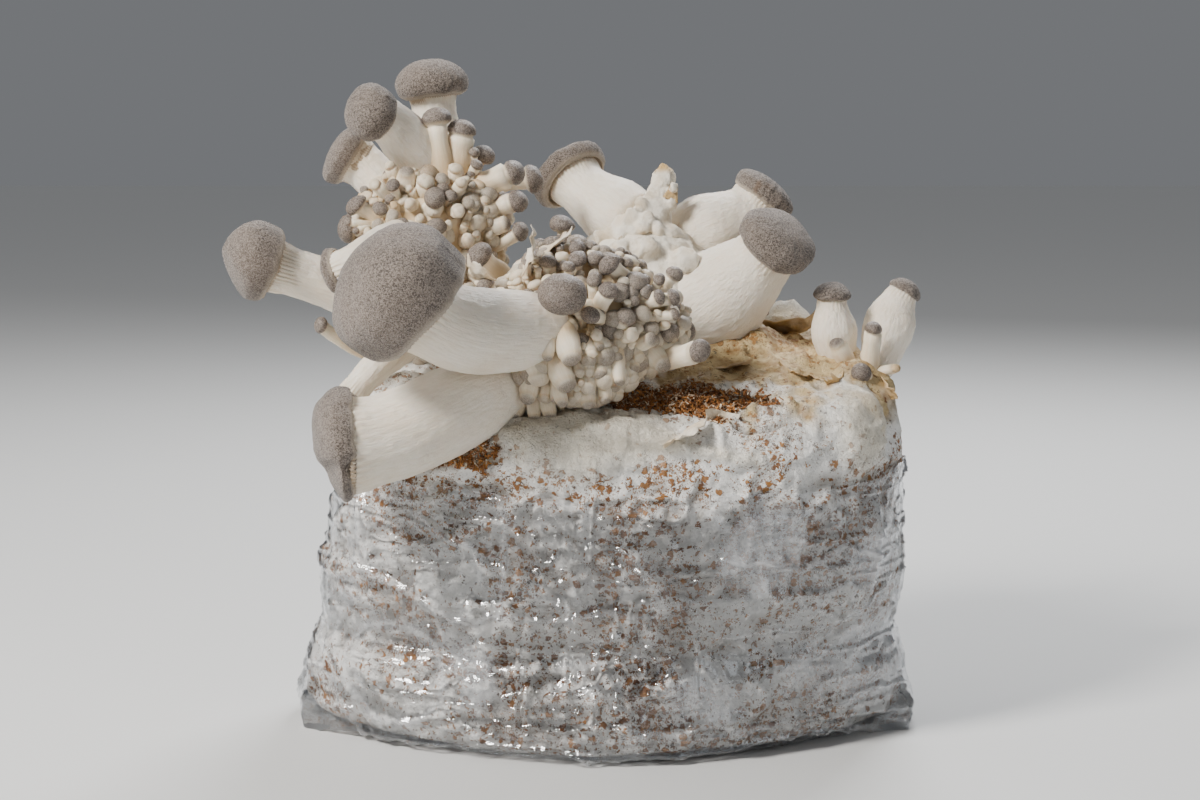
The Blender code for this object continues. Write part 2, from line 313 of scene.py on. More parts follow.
def makeStemSurface():
    look = dict(light=(0.83, 0.765, 0.66), deep=(0.64, 0.535, 0.40), blush=(0.72, 0.615, 0.48),
                warm=(0.56, 0.41, 0.24))
    made, tree, shader, place = newSurface("stemFlesh", fleshSettings(0.55, 0.003))
    flesh = useGroup(tree, fleshGroup, Along=attribute(tree, "grain", "Vector"), Place=place)
    base = layer(tree, look["light"], look["deep"], flesh["Line"], 0.34)
    base = layer(tree, base, look["blush"], flesh["Blush"], 0.38)
    # warm tan, with painted shade in the grooves under the cap
    base = layer(tree, base, look["warm"], attribute(tree, "warm"), 0.8)
    dress(tree, shader, base, flesh["Height"], 0.75, 0.0009)
    return made


def makePinSurface():
    look = dict(light=(0.82, 0.735, 0.59), deep=(0.62, 0.475, 0.30), dry=(0.50, 0.31, 0.11),
                capDark=(0.088, 0.067, 0.053), capPale=(0.26, 0.215, 0.18))
    made, tree, shader, place = newSurface("pinFlesh", fleshSettings(0.5, 0.0025))
    flesh = useGroup(tree, fleshGroup, Along=attribute(tree, "grain", "Vector"), Place=place)
    felt = useGroup(tree, feltGroup, Place=place, Fineness=2500.0, Cover=0.5)
    base = layer(tree, look["light"], look["deep"], flesh["Line"], 0.35)
    # ochre where a pin has dried, and as painted shade at pin feet, under heads and over the core between
    # pins
    base = layer(tree, base, look["dry"], attribute(tree, "dry"), 0.9)
    capped = attribute(tree, "cap")
    base = layer(tree, base, layer(tree, look["capDark"], look["capPale"], felt["Pale"]), capped)
    dress(tree, shader, base, plus(tree, flesh["Height"], times(tree, felt["Height"], capped)), 0.6, 0.0006)
    return made


def makeBlockSurface():
    look = dict(white=(0.90, 0.885, 0.85), grey=(0.52, 0.485, 0.43), rust=(0.20, 0.064, 0.004),
                bark=(0.055, 0.03, 0.015), ochre=(0.40, 0.225, 0.055), straw=(0.66, 0.49, 0.225),
                sawdust=(0.42, 0.175, 0.025), cream=(0.84, 0.775, 0.63), hollow=(0.20, 0.135, 0.08),
                dull=(0.58, 0.52, 0.41), crackShade=(0.045, 0.03, 0.02), speck=(0.16, 0.13, 0.10))
    made, tree, shader, place = newSurface("blockSkin", {"Roughness": 0.7})
    patches = noise(tree, place, 42.0, 3.0, 0.55)
    clouds = noise(tree, place, 190.0, 4.0, 0.65)
    strands = noise(tree, place, 560.0, 5.0, 0.7, 1.2)
    soiled = noise(tree, place, 75.0, 6.0, 0.7)
    clean, sunk = attribute(tree, "clean"), attribute(tree, "hollow")
    dirty = plus(tree, rampUp(tree, patches, 0.38, 0.62), times(tree, sunk, 0.35))
    dirty = minus(tree, dirty, clean, True)
    base = layer(tree, look["grey"], look["white"], rampUp(tree, clouds, 0.24, 0.46))
    # painted shade: the relief's hollows are darkened with brown
    base = layer(tree, base, look["hollow"], sunk, 0.45)
    bare = layer(tree, look["dull"], look["cream"], rampUp(tree, soiled, 0.38, 0.60))
    bare = layer(tree, bare, look["straw"], rampUp(tree, soiled, 0.56, 0.74), 0.6)
    base = layer(tree, base, bare, clean, 0.85)
    skin = layer(tree, look["ochre"], look["straw"], rampUp(tree, clouds, 0.35, 0.62))
    base = layer(tree, base, skin, attribute(tree, "ochre"), 0.9)
    keep = minus(tree, 1.0, times(tree, clean, 0.55))
    for dark, closeness, most, least in (("bark", 850.0, 0.80, 0.12), ("rust", 430.0, 0.66, 0.06)):
        flecks = useGroup(tree, fleckGroup, Place=place, Closeness=closeness,
                          Share=plus(tree, times(tree, dirty, most), least), Size=0.50)
        tone = layer(tree, look[dark], look["sawdust"], flecks["Tone"])
        base = layer(tree, base, tone, flecks["Mask"], keep, 0.93)
    specks = useGroup(tree, fleckGroup, Place=place, Closeness=640.0,
                      Share=times(tree, attribute(tree, "speckled"), 0.5), Size=0.34)
    base = layer(tree, base, look["speck"], specks["Mask"], 0.7)
    crumbs = layer(tree, look["rust"], look["sawdust"], rampUp(tree, strands, 0.35, 0.65))
    crumbs = layer(tree, crumbs, look["cream"], rampUp(tree, clouds, 0.44, 0.56))
    base = layer(tree, base, crumbs, attribute(tree, "bare"))
    # painted shade: the crack is coloured nearly black
    base = layer(tree, base, look["crackShade"], attribute(tree, "deep"), 0.85)
    height = plus(tree, times(tree, strands, 0.6), times(tree, clouds, 0.8))
    height = plus(tree, height, times(tree, flecks["Mask"], 0.22))  # the larger flecks stand out
    dress(tree, shader, base, height, 1.0, 0.0022)
    return made


def makeMyceliumSurface():
    look = dict(white=(0.80, 0.745, 0.64), shade=(0.57, 0.49, 0.375), ochre=(0.50, 0.30, 0.085),
                fleck=(0.30, 0.19, 0.09))
    made, tree, shader, place = newSurface("myceliumSkin", {"Roughness": 0.75})
    clouds = noise(tree, place, 130.0, 5.0, 0.65)
    fuzz = noise(tree, place, 900.0, 4.0, 0.7)
    flecks = useGroup(tree, fleckGroup, Place=place, Closeness=420.0, Share=0.10, Size=0.30)
    base = layer(tree, look["shade"], look["white"], rampUp(tree, clouds, 0.34, 0.58))
    base = layer(tree, base, look["ochre"], attribute(tree, "ochre"), 0.85)
    base = layer(tree, base, look["fleck"], flecks["Mask"], 0.6)
    dress(tree, shader, base, plus(tree, times(tree, clouds, 0.7), times(tree, fuzz, 0.3)), 0.8, 0.0016)
    return made


def makeCrumbSurface():
    look = dict(bark=(0.07, 0.035, 0.015, 1), rust=(0.30, 0.10, 0.018, 1), sawdust=(0.60, 0.27, 0.06, 1),
                cream=(0.86, 0.78, 0.62, 1), grain=(0.16, 0.075, 0.03))
    made, tree, shader, place = newSurface("sawdustCrumb", {"Roughness": 0.85})
    tones = add(tree, "ValToRGB", {0: attribute(tree, "tone")})
    stops = tones.color_ramp.elements
    stops[0].color, stops[1].color = look["bark"], look["cream"]
    for at, key in ((0.25, "rust"), (0.65, "sawdust")):
        stops.new(at).color = look[key]
    grain = noise(tree, place, 1800.0, 3.0)
    base = layer(tree, tones.outputs[0], look["grain"], rampUp(tree, grain, 0.3, 0.75))
    dress(tree, shader, base, grain, 0.5, 0.0004)
    return made


def makeFilmSurface():
    # the film is a mirror that covers little, and milky only where it has clouded
    look = dict(clear=(0.99, 0.993, 1.0), white=(0.88, 0.90, 0.93), bends=1.5, veil=0.20, gloss=1.9,
                fold=0.20, least=0.01)
    made, tree, shader, place = newSurface("clearFilm", {"Roughness": 0.11, "IOR": look["bends"]})
    cloud = noise(tree, place, 26.0, 5.0, 0.62)
    crinkle = noise(tree, place, 170.0, 4.0, 0.55, 0.9)
    dress(tree, shader, look["white"], crinkle, 0.3, 0.0014)
    bump = shader.inputs["Normal"].links[0].from_socket
    facing = add(tree, "Fresnel", {"IOR": look["bends"], "Normal": bump}).outputs[0]
    milky = plus(tree, times(tree, rampUp(tree, cloud, 0.56, 0.76), 0.45), attribute(tree, "veil"), True)
    milky = plus(tree, times(tree, milky, look["veil"]), times(tree, attribute(tree, "fold"), look["fold"]))
    cover = plus(tree, times(tree, facing, look["gloss"]), milky)
    cover = plus(tree, cover, look["least"], True)
    share = over(tree, milky, cover, True)
    feed(tree, shader.inputs["Metallic"], minus(tree, 1.0, share, True))
    clear = add(tree, "BsdfTransparent", {"Color": look["clear"]})
    blend = add(tree, "MixShader", {0: cover, 1: clear.outputs[0], 2: shader.outputs[0]})
    feed(tree, tree.nodes["Material Output"].inputs["Surface"], blend.outputs[0])
    return made


surfaces = dict(cap=makeCapSurface(), stem=makeStemSurface(), pin=makePinSurface(), block=makeBlockSurface(),
                mycelium=makeMyceliumSurface(), crumb=makeCrumbSurface(), film=makeFilmSurface())
print("surfaces made")

wrap = dict(centre=(0, 0, 55 * mm), columns=460, crowding=0.5, probes=420, directions=240, smoothing=9)


def wrapSolid(node, rows, startAngle, endAngle, weights):
    # rings of points round a rounded solid, from its underside to its top, closest together at the front
    tree = bvhOf(node)
    centre = Vector(wrap["centre"])
    angles = fullTurn(wrap["directions"])
    polar = np.linspace(startAngle, endAngle, wrap["probes"])
    reach = np.zeros((len(polar), len(angles)))
    for i, p in enumerate(polar):
        for j, a in enumerate(angles):
            way = Vector((math.sin(p) * math.cos(a), math.sin(p) * math.sin(a), -math.cos(p)))
            hits = tree.ray_cast(centre + way * 0.4, -way, 0.4)  # never the far wall's inside
            reach[i, j] = (hits[0] - centre).length if hits[0] is not None else np.nan
    half = wrap["smoothing"]
    kernel = np.hanning(2 * half + 3)[1:-1]
    kernel /= kernel.sum()
    padded = np.concatenate([reach[:, -half:], reach, reach[:, :half]], axis=1)
    smooth = np.stack([np.convolve(row, kernel, mode="valid") for row in padded])
    turn = fullTurn(wrap["columns"])
    turn = turn - wrap["crowding"] * np.sin(turn) - math.pi / 2
    rings = np.zeros((rows, len(turn), 3))
    for j, a in enumerate(turn):
        place = (a % (2 * math.pi)) / (2 * math.pi) * len(angles)
        left, part = int(place) % len(angles), place % 1
        r = smooth[:, left] * (1 - part) + smooth[:, (left + 1) % len(angles)] * part
        line = np.stack([r * np.sin(polar) * math.cos(a), r * np.sin(polar) * math.sin(a),
                         centre.z - r * np.cos(polar)], axis=1)
        line = line[np.isfinite(r)]
        steps = np.linalg.norm(np.diff(line, axis=0), axis=1)
        steps *= weights(line[1:])
        travelled = np.concatenate([[0], np.cumsum(steps)])
        marks = np.linspace(0, travelled[-1], rows)
        for k in range(3):
            rings[:, j, k] = np.interp(marks, travelled, line[:, k])
    return rings


def gridNormals(rings):
    down = np.gradient(rings, axis=0)
    along = np.roll(rings, -1, axis=1) - np.roll(rings, 1, axis=1)
    normals = np.cross(along, down)
    normals /= np.linalg.norm(normals, axis=2, keepdims=True) + 1e-12
    return normals


def patchMask(points, shape):  # 1 inside a ragged oval, 0 outside it
    d = (points - np.array(shape["centre"]) * mm) / (np.array(shape["radii"]) * mm)
    far = np.linalg.norm(d, axis=1)
    far += shape.get("ragged", 0.35) * roughNoise(points, 9 * mm, shape["seed"], 4, 0.6)
    soft = shape.get("soft", 0.18)
    return 1 - ease(far, 1 - soft, 1 + soft)


def lineDistance(points, route):  # distance from a broken line, in metres
    best = np.full(len(points), 1e9)
    route = np.array(route, float) * mm
    for a, b in zip(route, route[1:]):
        ab = b - a
        t = np.clip(((points - a) @ ab) / (ab @ ab), 0, 1)
        best = np.minimum(best, np.linalg.norm(points - (a + t[:, None] * ab), axis=1))
    return best


blockShape = dict(
    rows=210,
    crater=dict(centre=(25, -44, 108), radii=(22, 10, 12), depth=1.1, seed=3),
    chunk=dict(centre=(-50, -62, 98), radii=(15, 14, 6), depth=1.0, seed=4, ragged=0.5),
    crack=[(33, -50, 108), (38, -54, 106), (43, -58, 103.5), (49, -57, 104), (55, -54, 105)],
    tear=[(2, -62, 102), (10, -64, 99), (20, -65, 98), (30, -65, 96), (44, -64, 93)],
    apron=dict(centre=(-8, -64, 103), radii=(26, 14, 11), out=3.2, seed=5, ragged=0.15, soft=0.45),
    tongue=dict(centre=(80, -36, 101), radii=(8, 18, 13), out=3.6, seed=6, ragged=0.15, soft=0.5),
    pedestal=dict(centre=(85, -8), radii=(15, 15), up=2.5),
    ochre=dict(centre=(52, 0, 118), radii=(50, 44, 22), seed=7, ragged=0.45, soft=0.35),
    bump=dict(centre=(64, 47), radii=(17, 12), up=13),
    drape=dict(centre=(52, 4), radii=(22, 20), up=5),
    speckled=dict(centre=(50, -36, 110), radii=(32, 22, 14), seed=8, ragged=0.5, soft=0.5),
)


def pressedRelief(points):  # wrinkles that the film presses into the block, in mm; film and block share them
    relief = ridges(points, np.array([17, 17, 8]) * mm, 12) * 1.9
    relief += ridges(points, np.array([8, 8, 15]) * mm, 19) * 1.1
    relief += roughNoise(points, 7 * mm, 13, 3, 0.55) * 1.0
    return relief - 1.3 + 0.9 * softNoise(points, 26 * mm, 11)


def hump(points, shape):  # a smooth rise seen from above
    d = ((points[:, 0] / mm - shape["centre"][0]) / shape["radii"][0]) ** 2 \
        + ((points[:, 1] / mm - shape["centre"][1]) / shape["radii"][1]) ** 2
    return np.exp(-d)


def makeBlock():
    b = blockShape
    rings = wrapSolid("substrate_block", b["rows"], 0.02, math.pi - 0.02,
                      lambda p: np.where(p[:, 2] < 3 * mm, 0.12, 1.0))
    normals = gridNormals(rings).reshape(-1, 3)
    points = rings.reshape(-1, 3)
    level = points[:, 2]
    front = ease(-points[:, 1], -10 * mm, 40 * mm)
    bagged = 1 - ease(level, 85 * mm, 92 * mm)
    crater, chunk, apron, tongue, ochre, speckled = (
        patchMask(points, b[key]) for key in ("crater", "chunk", "apron", "tongue", "ochre", "speckled"))
    crackLine = 1 - ease(lineDistance(points, b["crack"]), 0.5 * mm, 1.6 * mm)
    lip = 1 - ease(lineDistance(points, b["crack"]), 1.2 * mm, 5 * mm)
    below = ease(100 * mm - level - (points[:, 0] - 5 * mm) * 0.17, -1.5 * mm, 1.5 * mm)
    tear = (1 - ease(lineDistance(points, b["tear"]), 2 * mm, 9 * mm)) * front
    smooth = np.clip(apron + tongue, 0, 1)
    # a leathery skin above the film, with folds and small pits
    loose = roughNoise(points, 22 * mm, 27, 3) * 1.4 + ridges(points, 10 * mm, 15) * 1.3
    loose += ridges(points, np.array([13, 13, 5]) * mm, 28) * 0.9 \
        + roughNoise(points, 5 * mm, 29, 3, 0.6) * 0.6
    pressed = pressedRelief(points)
    lumps = pressed * bagged + loose * (1 - bagged) * (1 - 0.35 * smooth)
    # how sunk the relief is, which the block's surface darkens as painted shade
    hollow = ease(-pressed, 0.7, 2.0) * bagged + ease(-loose, 0.3, 1.8) * (1 - bagged) * 0.5 * (1 - smooth)
    lumps += roughNoise(points, 2.2 * mm, 14, 2, 0.6) * 0.16
    lumps -= crater * (b["crater"]["depth"] + 0.9 * roughNoise(points, 3 * mm, 16, 3, 0.7))
    lumps -= chunk * (b["chunk"]["depth"] + 1.3 * roughNoise(points, 3.5 * mm, 17, 3, 0.7))
    lumps += apron * b["apron"]["out"] + tongue * b["tongue"]["out"]
    lumps += lip * 0.9 - crackLine * 3.0
    lumps += tear * (1.8 - 3.2 * below)
    wider = dict(b["crater"], radii=np.array(b["crater"]["radii"]) * 1.18)
    rimSkin = patchMask(points, wider) - crater
    lumps += np.clip(rimSkin, 0, 1) * 1.6
    inward = ease(level, 0.0, 8 * mm)  # the underside stays flat
    points = points + normals * (lumps * mm * inward)[:, None]
    onTop = ease(level, 96 * mm, 116 * mm)
    bump, pedestal, drape = (hump(points, b[key]) for key in ("bump", "pedestal", "drape"))
    drape *= 1 + 0.6 * roughNoise(points, 13 * mm, 23, 3)
    standing = ease(pedestal, 0.25, 0.62) + 0.15 * roughNoise(points, 5 * mm, 24, 3, 0.6)
    points[:, 2] += bump * b["bump"]["up"] * mm * onTop + drape * b["drape"]["up"] * mm * onTop
    points[:, 2] += standing * b["pedestal"]["up"] * mm * ease(level, 92 * mm, 108 * mm) \
        * ease(pedestal, 0.1, 0.4)
    points[:, 2] = np.maximum(points[:, 2], 1.0 * mm)
    rows, cols = rings.shape[:2]
    ends = [[0, 0, 1.0 * mm], points.reshape(rows, cols, 3)[-1].mean(axis=0)]
    top = ease(level, 98 * mm, 106 * mm)
    clean = np.clip(smooth + bump * 1.5 + tear * (1 - below) * 0.8 + top * 0.35 * (1 - crater), 0, 1)
    yellow = np.clip(ochre * top + 0.7 * ease(pedestal, 0.2, 0.5) * top - 0.6 * tongue, 0, 1)
    masks = dict(bare=np.clip(crater + chunk, 0, 1), ochre=yellow * (1 - crater) * (1 - bump),
                 clean=clean * (1 - crater) * (1 - chunk), deep=crackLine, hollow=np.clip(hollow, 0, 1),
                 speckled=speckled * (1 - crater) * (1 - smooth))
    for key, value in masks.items():
        masks[key] = np.append(value, [value[:cols].mean(), value[-cols:].mean()])
    thing = makeMesh("sawdustBlock", np.vstack([points, ends]), tubeFaces(rows, cols), masks)
    finishPiece(thing, surfaces["block"], "substrate", "substrate_block")
    grid = points.reshape(rows, cols, 3)
    return grid, gridNormals(grid), masks["bare"][:-2].reshape(rows, cols)


blockPoints, blockNormals, blockBare = makeBlock()
print("block made")

crumbShape = dict(count=5200, length=(0.7, 2.6), width=(0.3, 0.9), thick=(0.12, 0.4))


def makeCrumbs():
    c = crumbShape
    rng = np.random.default_rng(21)
    rows, cols = blockBare.shape
    inner = (blockBare > 0.45) & (blockPoints[:, :, 2] > 90 * mm)
    spots = np.argwhere(inner)
    points, faces, tones = [], [], []
    for _ in range(c["count"]):
        i, j = spots[rng.integers(len(spots))]
        at = blockPoints[i, j] + rng.normal(0, 0.6 * mm, 3)
        up = unit(blockNormals[i, j] + rng.normal(0, 0.55, 3))
        across, along = sideVectors(up)
        turn = rng.uniform(0, 2 * math.pi)
        a = across * math.cos(turn) + along * math.sin(turn)
        w = np.cross(up, a)
        size = [rng.uniform(*c[key]) * mm / 2 for key in ("length", "width", "thick")]
        base = len(points)
        for sa in (-1, 1):
            for sw in (-1, 1):
                for su in (-1, 1):
                    taper = rng.uniform(0.5, 1.0)
                    points.append(at + a * sa * size[0] + w * sw * size[1] * taper + up * su * size[2]
                                  + up * 0.35 * mm)
        tone = rng.beta(2.2, 2.4) * 0.72 if rng.uniform() < 0.74 else rng.uniform(0.85, 1.0)
        tones += [tone] * 8
        faces += [tuple(base + k for k in quad) for quad in
                  ((0, 1, 3, 2), (4, 6, 7, 5), (0, 4, 5, 1), (2, 3, 7, 6), (0, 2, 6, 4), (1, 5, 7, 3))]
    thing = makeMesh("sawdustCrumbs", points, faces, dict(tone=tones), smooth=False)
    finishPiece(thing, surfaces["crumb"], "substrate")


makeCrumbs()
print("crumbs made")

filmShape = dict(
    rows=170, bulge=dict(centre=(-68, 25), radius=15.5, out=2.4),
    creases=[[(-32, 86), (-31, 70), (-32, 52), (-32, 47)], [(-32, 47), (-48, 44), (-60, 52)],
             [(-32, 47), (-18, 46), (4, 48), (20, 47)], [(-84, 42), (-90, 30), (-84, 12), (-76, 2)],
             [(34, 40), (52, 42), (66, 40), (78, 45), (90, 50)], [(60, 70), (60, 50), (72, 44)],
             [(-6, 88), (10, 84), (24, 80)], [(58, 28), (70, 27)], [(10, 10), (30, 12), (52, 9)],
             [(70, 14), (84, 17), (96, 15)], [(36, 64), (60, 60), (76, 66), (88, 60)],
             [(-60, 78), (-40, 66), (-38, 56)], [(-80, 60), (-62, 52), (-54, 60)],
             [(-14, 30), (2, 36), (20, 33)]],
    veils=[((46, 66), (13, 16)), ((78, 24), (22, 14)), ((-42, 26), (9, 16)), ((30, 20), (18, 10)),
           ((86, 62), (10, 12))],
    corners=[(-152, 1.8), (-28, 3.0)],  # the gusset folds in degrees, and how far they stand out
    ears=[(-168, 7.0), (-12, 7.5)],  # the pointed ends of the folded foot
)


def makeFilm():
    f = filmShape
    rings = wrapSolid("grow_bag", f["rows"], 0.02, 1.95, lambda p: np.where(p[:, 2] < 1 * mm, 0.10, 1.0))
    normals = gridNormals(rings).reshape(-1, 3)
    points = rings.reshape(-1, 3)
    x, z = points[:, 0] / mm, points[:, 2] / mm
    frontSide = ease(-points[:, 1], -5 * mm, 15 * mm)
    # the film lies on the block's ridges and bridges its hollows
    pressed = pressedRelief(points - normals * 1.2 * mm)
    out = np.log1p(np.exp((pressed - 0.2) * 1.8)) / 1.8 + 0.1
    wrinkle = ridges(points, np.array([20, 20, 5]) * mm, 31) ** 3
    facing = 0.3 + 0.7 * np.clip(-normals[:, 1], 0, 1)
    out += (wrinkle * 1.3 + ridges(points, np.array([6, 6, 18]) * mm, 32) ** 3 * 0.9
            + ridges(points, 8 * mm, 33) ** 4 * 0.9) * facing
    fold = wrinkle ** 3 * 0.35
    ring = np.hypot(x - f["bulge"]["centre"][0], z - f["bulge"]["centre"][1]) / f["bulge"]["radius"]
    ring += 0.08 * softNoise(points, 9 * mm, 35)
    out += (1 - ease(ring, 0.2, 1.0)) * f["bulge"]["out"] * frontSide
    rim = np.exp(-((ring - 1.05) / 0.07) ** 2) * frontSide
    out -= rim * 0.6
    fold = fold + rim * 0.9
    wander = [softNoise(points, 7 * mm, seed) * 1.2 * mm for seed in (41, 42)]
    flat = np.stack([points[:, 0] + wander[0], np.zeros(len(points)), points[:, 2] + wander[1]], axis=1)
    for line in f["creases"]:
        near = lineDistance(flat, [(p[0], 0, p[1]) for p in line])
        crease = np.exp(-(near / (0.8 * mm)) ** 2) * frontSide
        out += crease * 1.5
        fold = fold + crease * 0.55
    veil = np.zeros(len(points))
    for centre, radii in f["veils"]:
        far = np.hypot((x - centre[0]) / radii[0], (z - centre[1]) / radii[1])
        veil += (1 - ease(far + 0.4 * roughNoise(points, 12 * mm, 43, 3), 0.5, 1.1)) * frontSide
    direction = np.degrees(np.arctan2(points[:, 1], points[:, 0]))
    sway = 2.5 * softNoise(points * np.array([0, 0, 1]), 22 * mm, 44)
    for angle, proud in f["corners"]:  # the gusset's outer folds stand out as blades
        blade = np.exp(-np.abs((direction - angle + sway) / 2.2) ** 1.4)
        blade = blade * ease(z, 38, 56) * (1 - ease(z, 72, 86))
        out += blade * proud
        fold = fold + blade * 0.5
    for angle, proud in f["ears"]:
        away = (direction - angle + 180) % 360 - 180
        out += np.exp(-np.abs(away / 6.0) ** 1.3) * proud * np.exp(-((z - 5) / 9) ** 2)
    for k, height in enumerate((4.5, 9.5)):  # folds round the foot
        wave = height + 1.6 * softNoise(points * np.array([1, 1, 0]), 30 * mm, 50 + k)
        hem = np.exp(-((z - wave) / 0.9) ** 2)
        out += hem * (1.6 - 0.5 * k)
        fold = fold + hem * 0.3
    stand = ease(points[:, 2], 0.1 * mm, 4 * mm)
    points = points + normals * ((out * stand) * mm)[:, None]
    points[:, 2] = np.clip(points[:, 2], 0, None)
    rows, cols = rings.shape[:2]
    grid = points.reshape(rows, cols, 3)
    lift = roughNoise(grid[-1] * np.array([1, 1, 0]), 24 * mm, 61, 3) * 1.2 * mm
    loose = 0.3 + 0.7 * softNoise(grid[-1], 15 * mm, 62)
    edge = 12
    for k in range(edge):  # the cut edge wanders up and down and stands off a little
        share = ((k + 1) / edge) ** 2
        grid[rows - edge + k, :, 2] += lift * share
        grid[rows - edge + k] += gridNormals(grid)[rows - edge + k] * share * loose[:, None] * mm
    fold = fold.reshape(rows, cols)
    fold[-1] = 0.9
    masks = dict(fold=np.append(np.clip(fold, 0, 1), 0.0), veil=np.append(np.clip(veil, 0, 1), 0.0))
    thing = makeMesh("clearBag", np.vstack([grid.reshape(-1, 3), [[0, 0, 0]]]),
                     tubeFaces(rows, cols, closeLast=False), masks)
    finishPiece(thing, surfaces["film"], "clear_film", "grow_bag")


makeFilm()
print("film made")


# each mushroom: the hidden end of its stem and the radii from there to the cap, in mm; how full its
# dome is (less is fuller) and how far the rim curls in, as a share of the radius; then what is
# particular to it, such as how high its cap is widest and how far the gills run down the stem
mushrooms = {
    "crown": dict(foot=(-54, 12, 178), radii=(6.5, 8.0, 7.6, 7.0), full=1.15, lip=0.20, widest=0.28,
                  gillLine=0.05),
    "round": dict(foot=(-56, 2, 181), radii=(7.0, 8.4, 8.2, 6.4), full=1.0, lip=0.12, gillLine=0.04),
    "shoulder": dict(foot=(-66, 2, 166), radii=(6.0, 6.6, 7.4, 7.6), full=1.05, lip=0.16),
    "far": dict(foot=(-62, -14, 138), radii=(10.5, 10.0, 8.0, 7.4), full=1.0, lip=0.10, droop=0.45,
                gillLine=0.14),
    "tucked": dict(foot=(-64, -20, 163), radii=(6.0, 7.0, 6.5, 5.2), full=1.0, lip=0.10, recess=0.30),
    "great": dict(foot=(-14, -52, 134), radii=(11.0, 12.6, 13.0, 11.5), full=1.04, lip=0.07, droop=0.10),
    "trumpet": dict(foot=(-24, -48, 121), radii=(6.5, 12.8, 13.6, 13.2), full=0.95, lip=0.08, droop=0.6,
                    dent=(0.35, 2.6), ear=3.2, gillLine=0.09),
    "hidden": dict(foot=(-60, -30, 134), radii=(6.4, 6.0, 5.0, 4.0), full=1.0, lip=0.12),
    "back": dict(foot=(12, 22, 162), radii=(11.5, 12.5, 10.0, 8.6), full=0.9, lip=0.17, recess=0.16),
    "rear": dict(foot=(22, 25, 156), radii=(8.5, 13.6, 11.4, 8.4), full=1.0, lip=0.14, bruise=True),
    "right": dict(foot=(23, 12, 128), radii=(12.5, 17.0, 14.0, 8.4), full=0.96, lip=0.14, gillLine=0.08),
    "nested": dict(foot=(45, 24, 120), radii=(3.6, 4.2, 3.8, 3.2), full=0.9, lip=0.15),
    "left_twin": dict(foot=(79, -3, 110), radii=(3.0, 5.8, 7.6, 3.8), full=1.25, lip=0.20, widest=0.16),
    "right_twin": dict(foot=(90, 1, 112), radii=(3.5, 7.0, 8.6, 4.2), full=1.25, lip=0.20, widest=0.18),
}


def measureCap(node):
    # seat, facing, radius and height of a cap, from the flat ring that sits on its stem
    mesh = nodes[node].data
    normals = listed(mesh.polygons, "normal")
    areas = np.array([p.area for p in mesh.polygons])
    centres = listed(mesh.polygons, "center")
    shares = [areas[normals @ n > 0.9995].sum() for n in normals]
    flat = normals @ normals[int(np.argmax(shares))] > 0.9995
    facing = -unit((normals[flat] * areas[flat, None]).sum(axis=0))
    seat = (centres[flat] * areas[flat, None]).sum(axis=0) / areas[flat].sum()
    points = listed(mesh.vertices, "co") - seat
    up = points @ facing
    out = np.linalg.norm(points - up[:, None] * facing, axis=1)
    return seat, facing, out.max(), up.max()


def smoothBlend(values, t):
    t = np.asarray(t, float)
    stations = np.linspace(0, 1, len(values))
    values = np.array(values, float)
    slopes = np.gradient(values, stations)
    place = np.clip(np.searchsorted(stations, t, side="right") - 1, 0, len(values) - 2)
    h = stations[1]
    u = (t - stations[place]) / h
    a, b, da, db = values[place], values[place + 1], slopes[place] * h, slopes[place + 1] * h
    return (2 * u ** 3 - 3 * u ** 2 + 1) * a + (u ** 3 - 2 * u ** 2 + u) * da \
        + (3 * u ** 2 - 2 * u ** 3) * b + (u ** 3 - u ** 2) * db


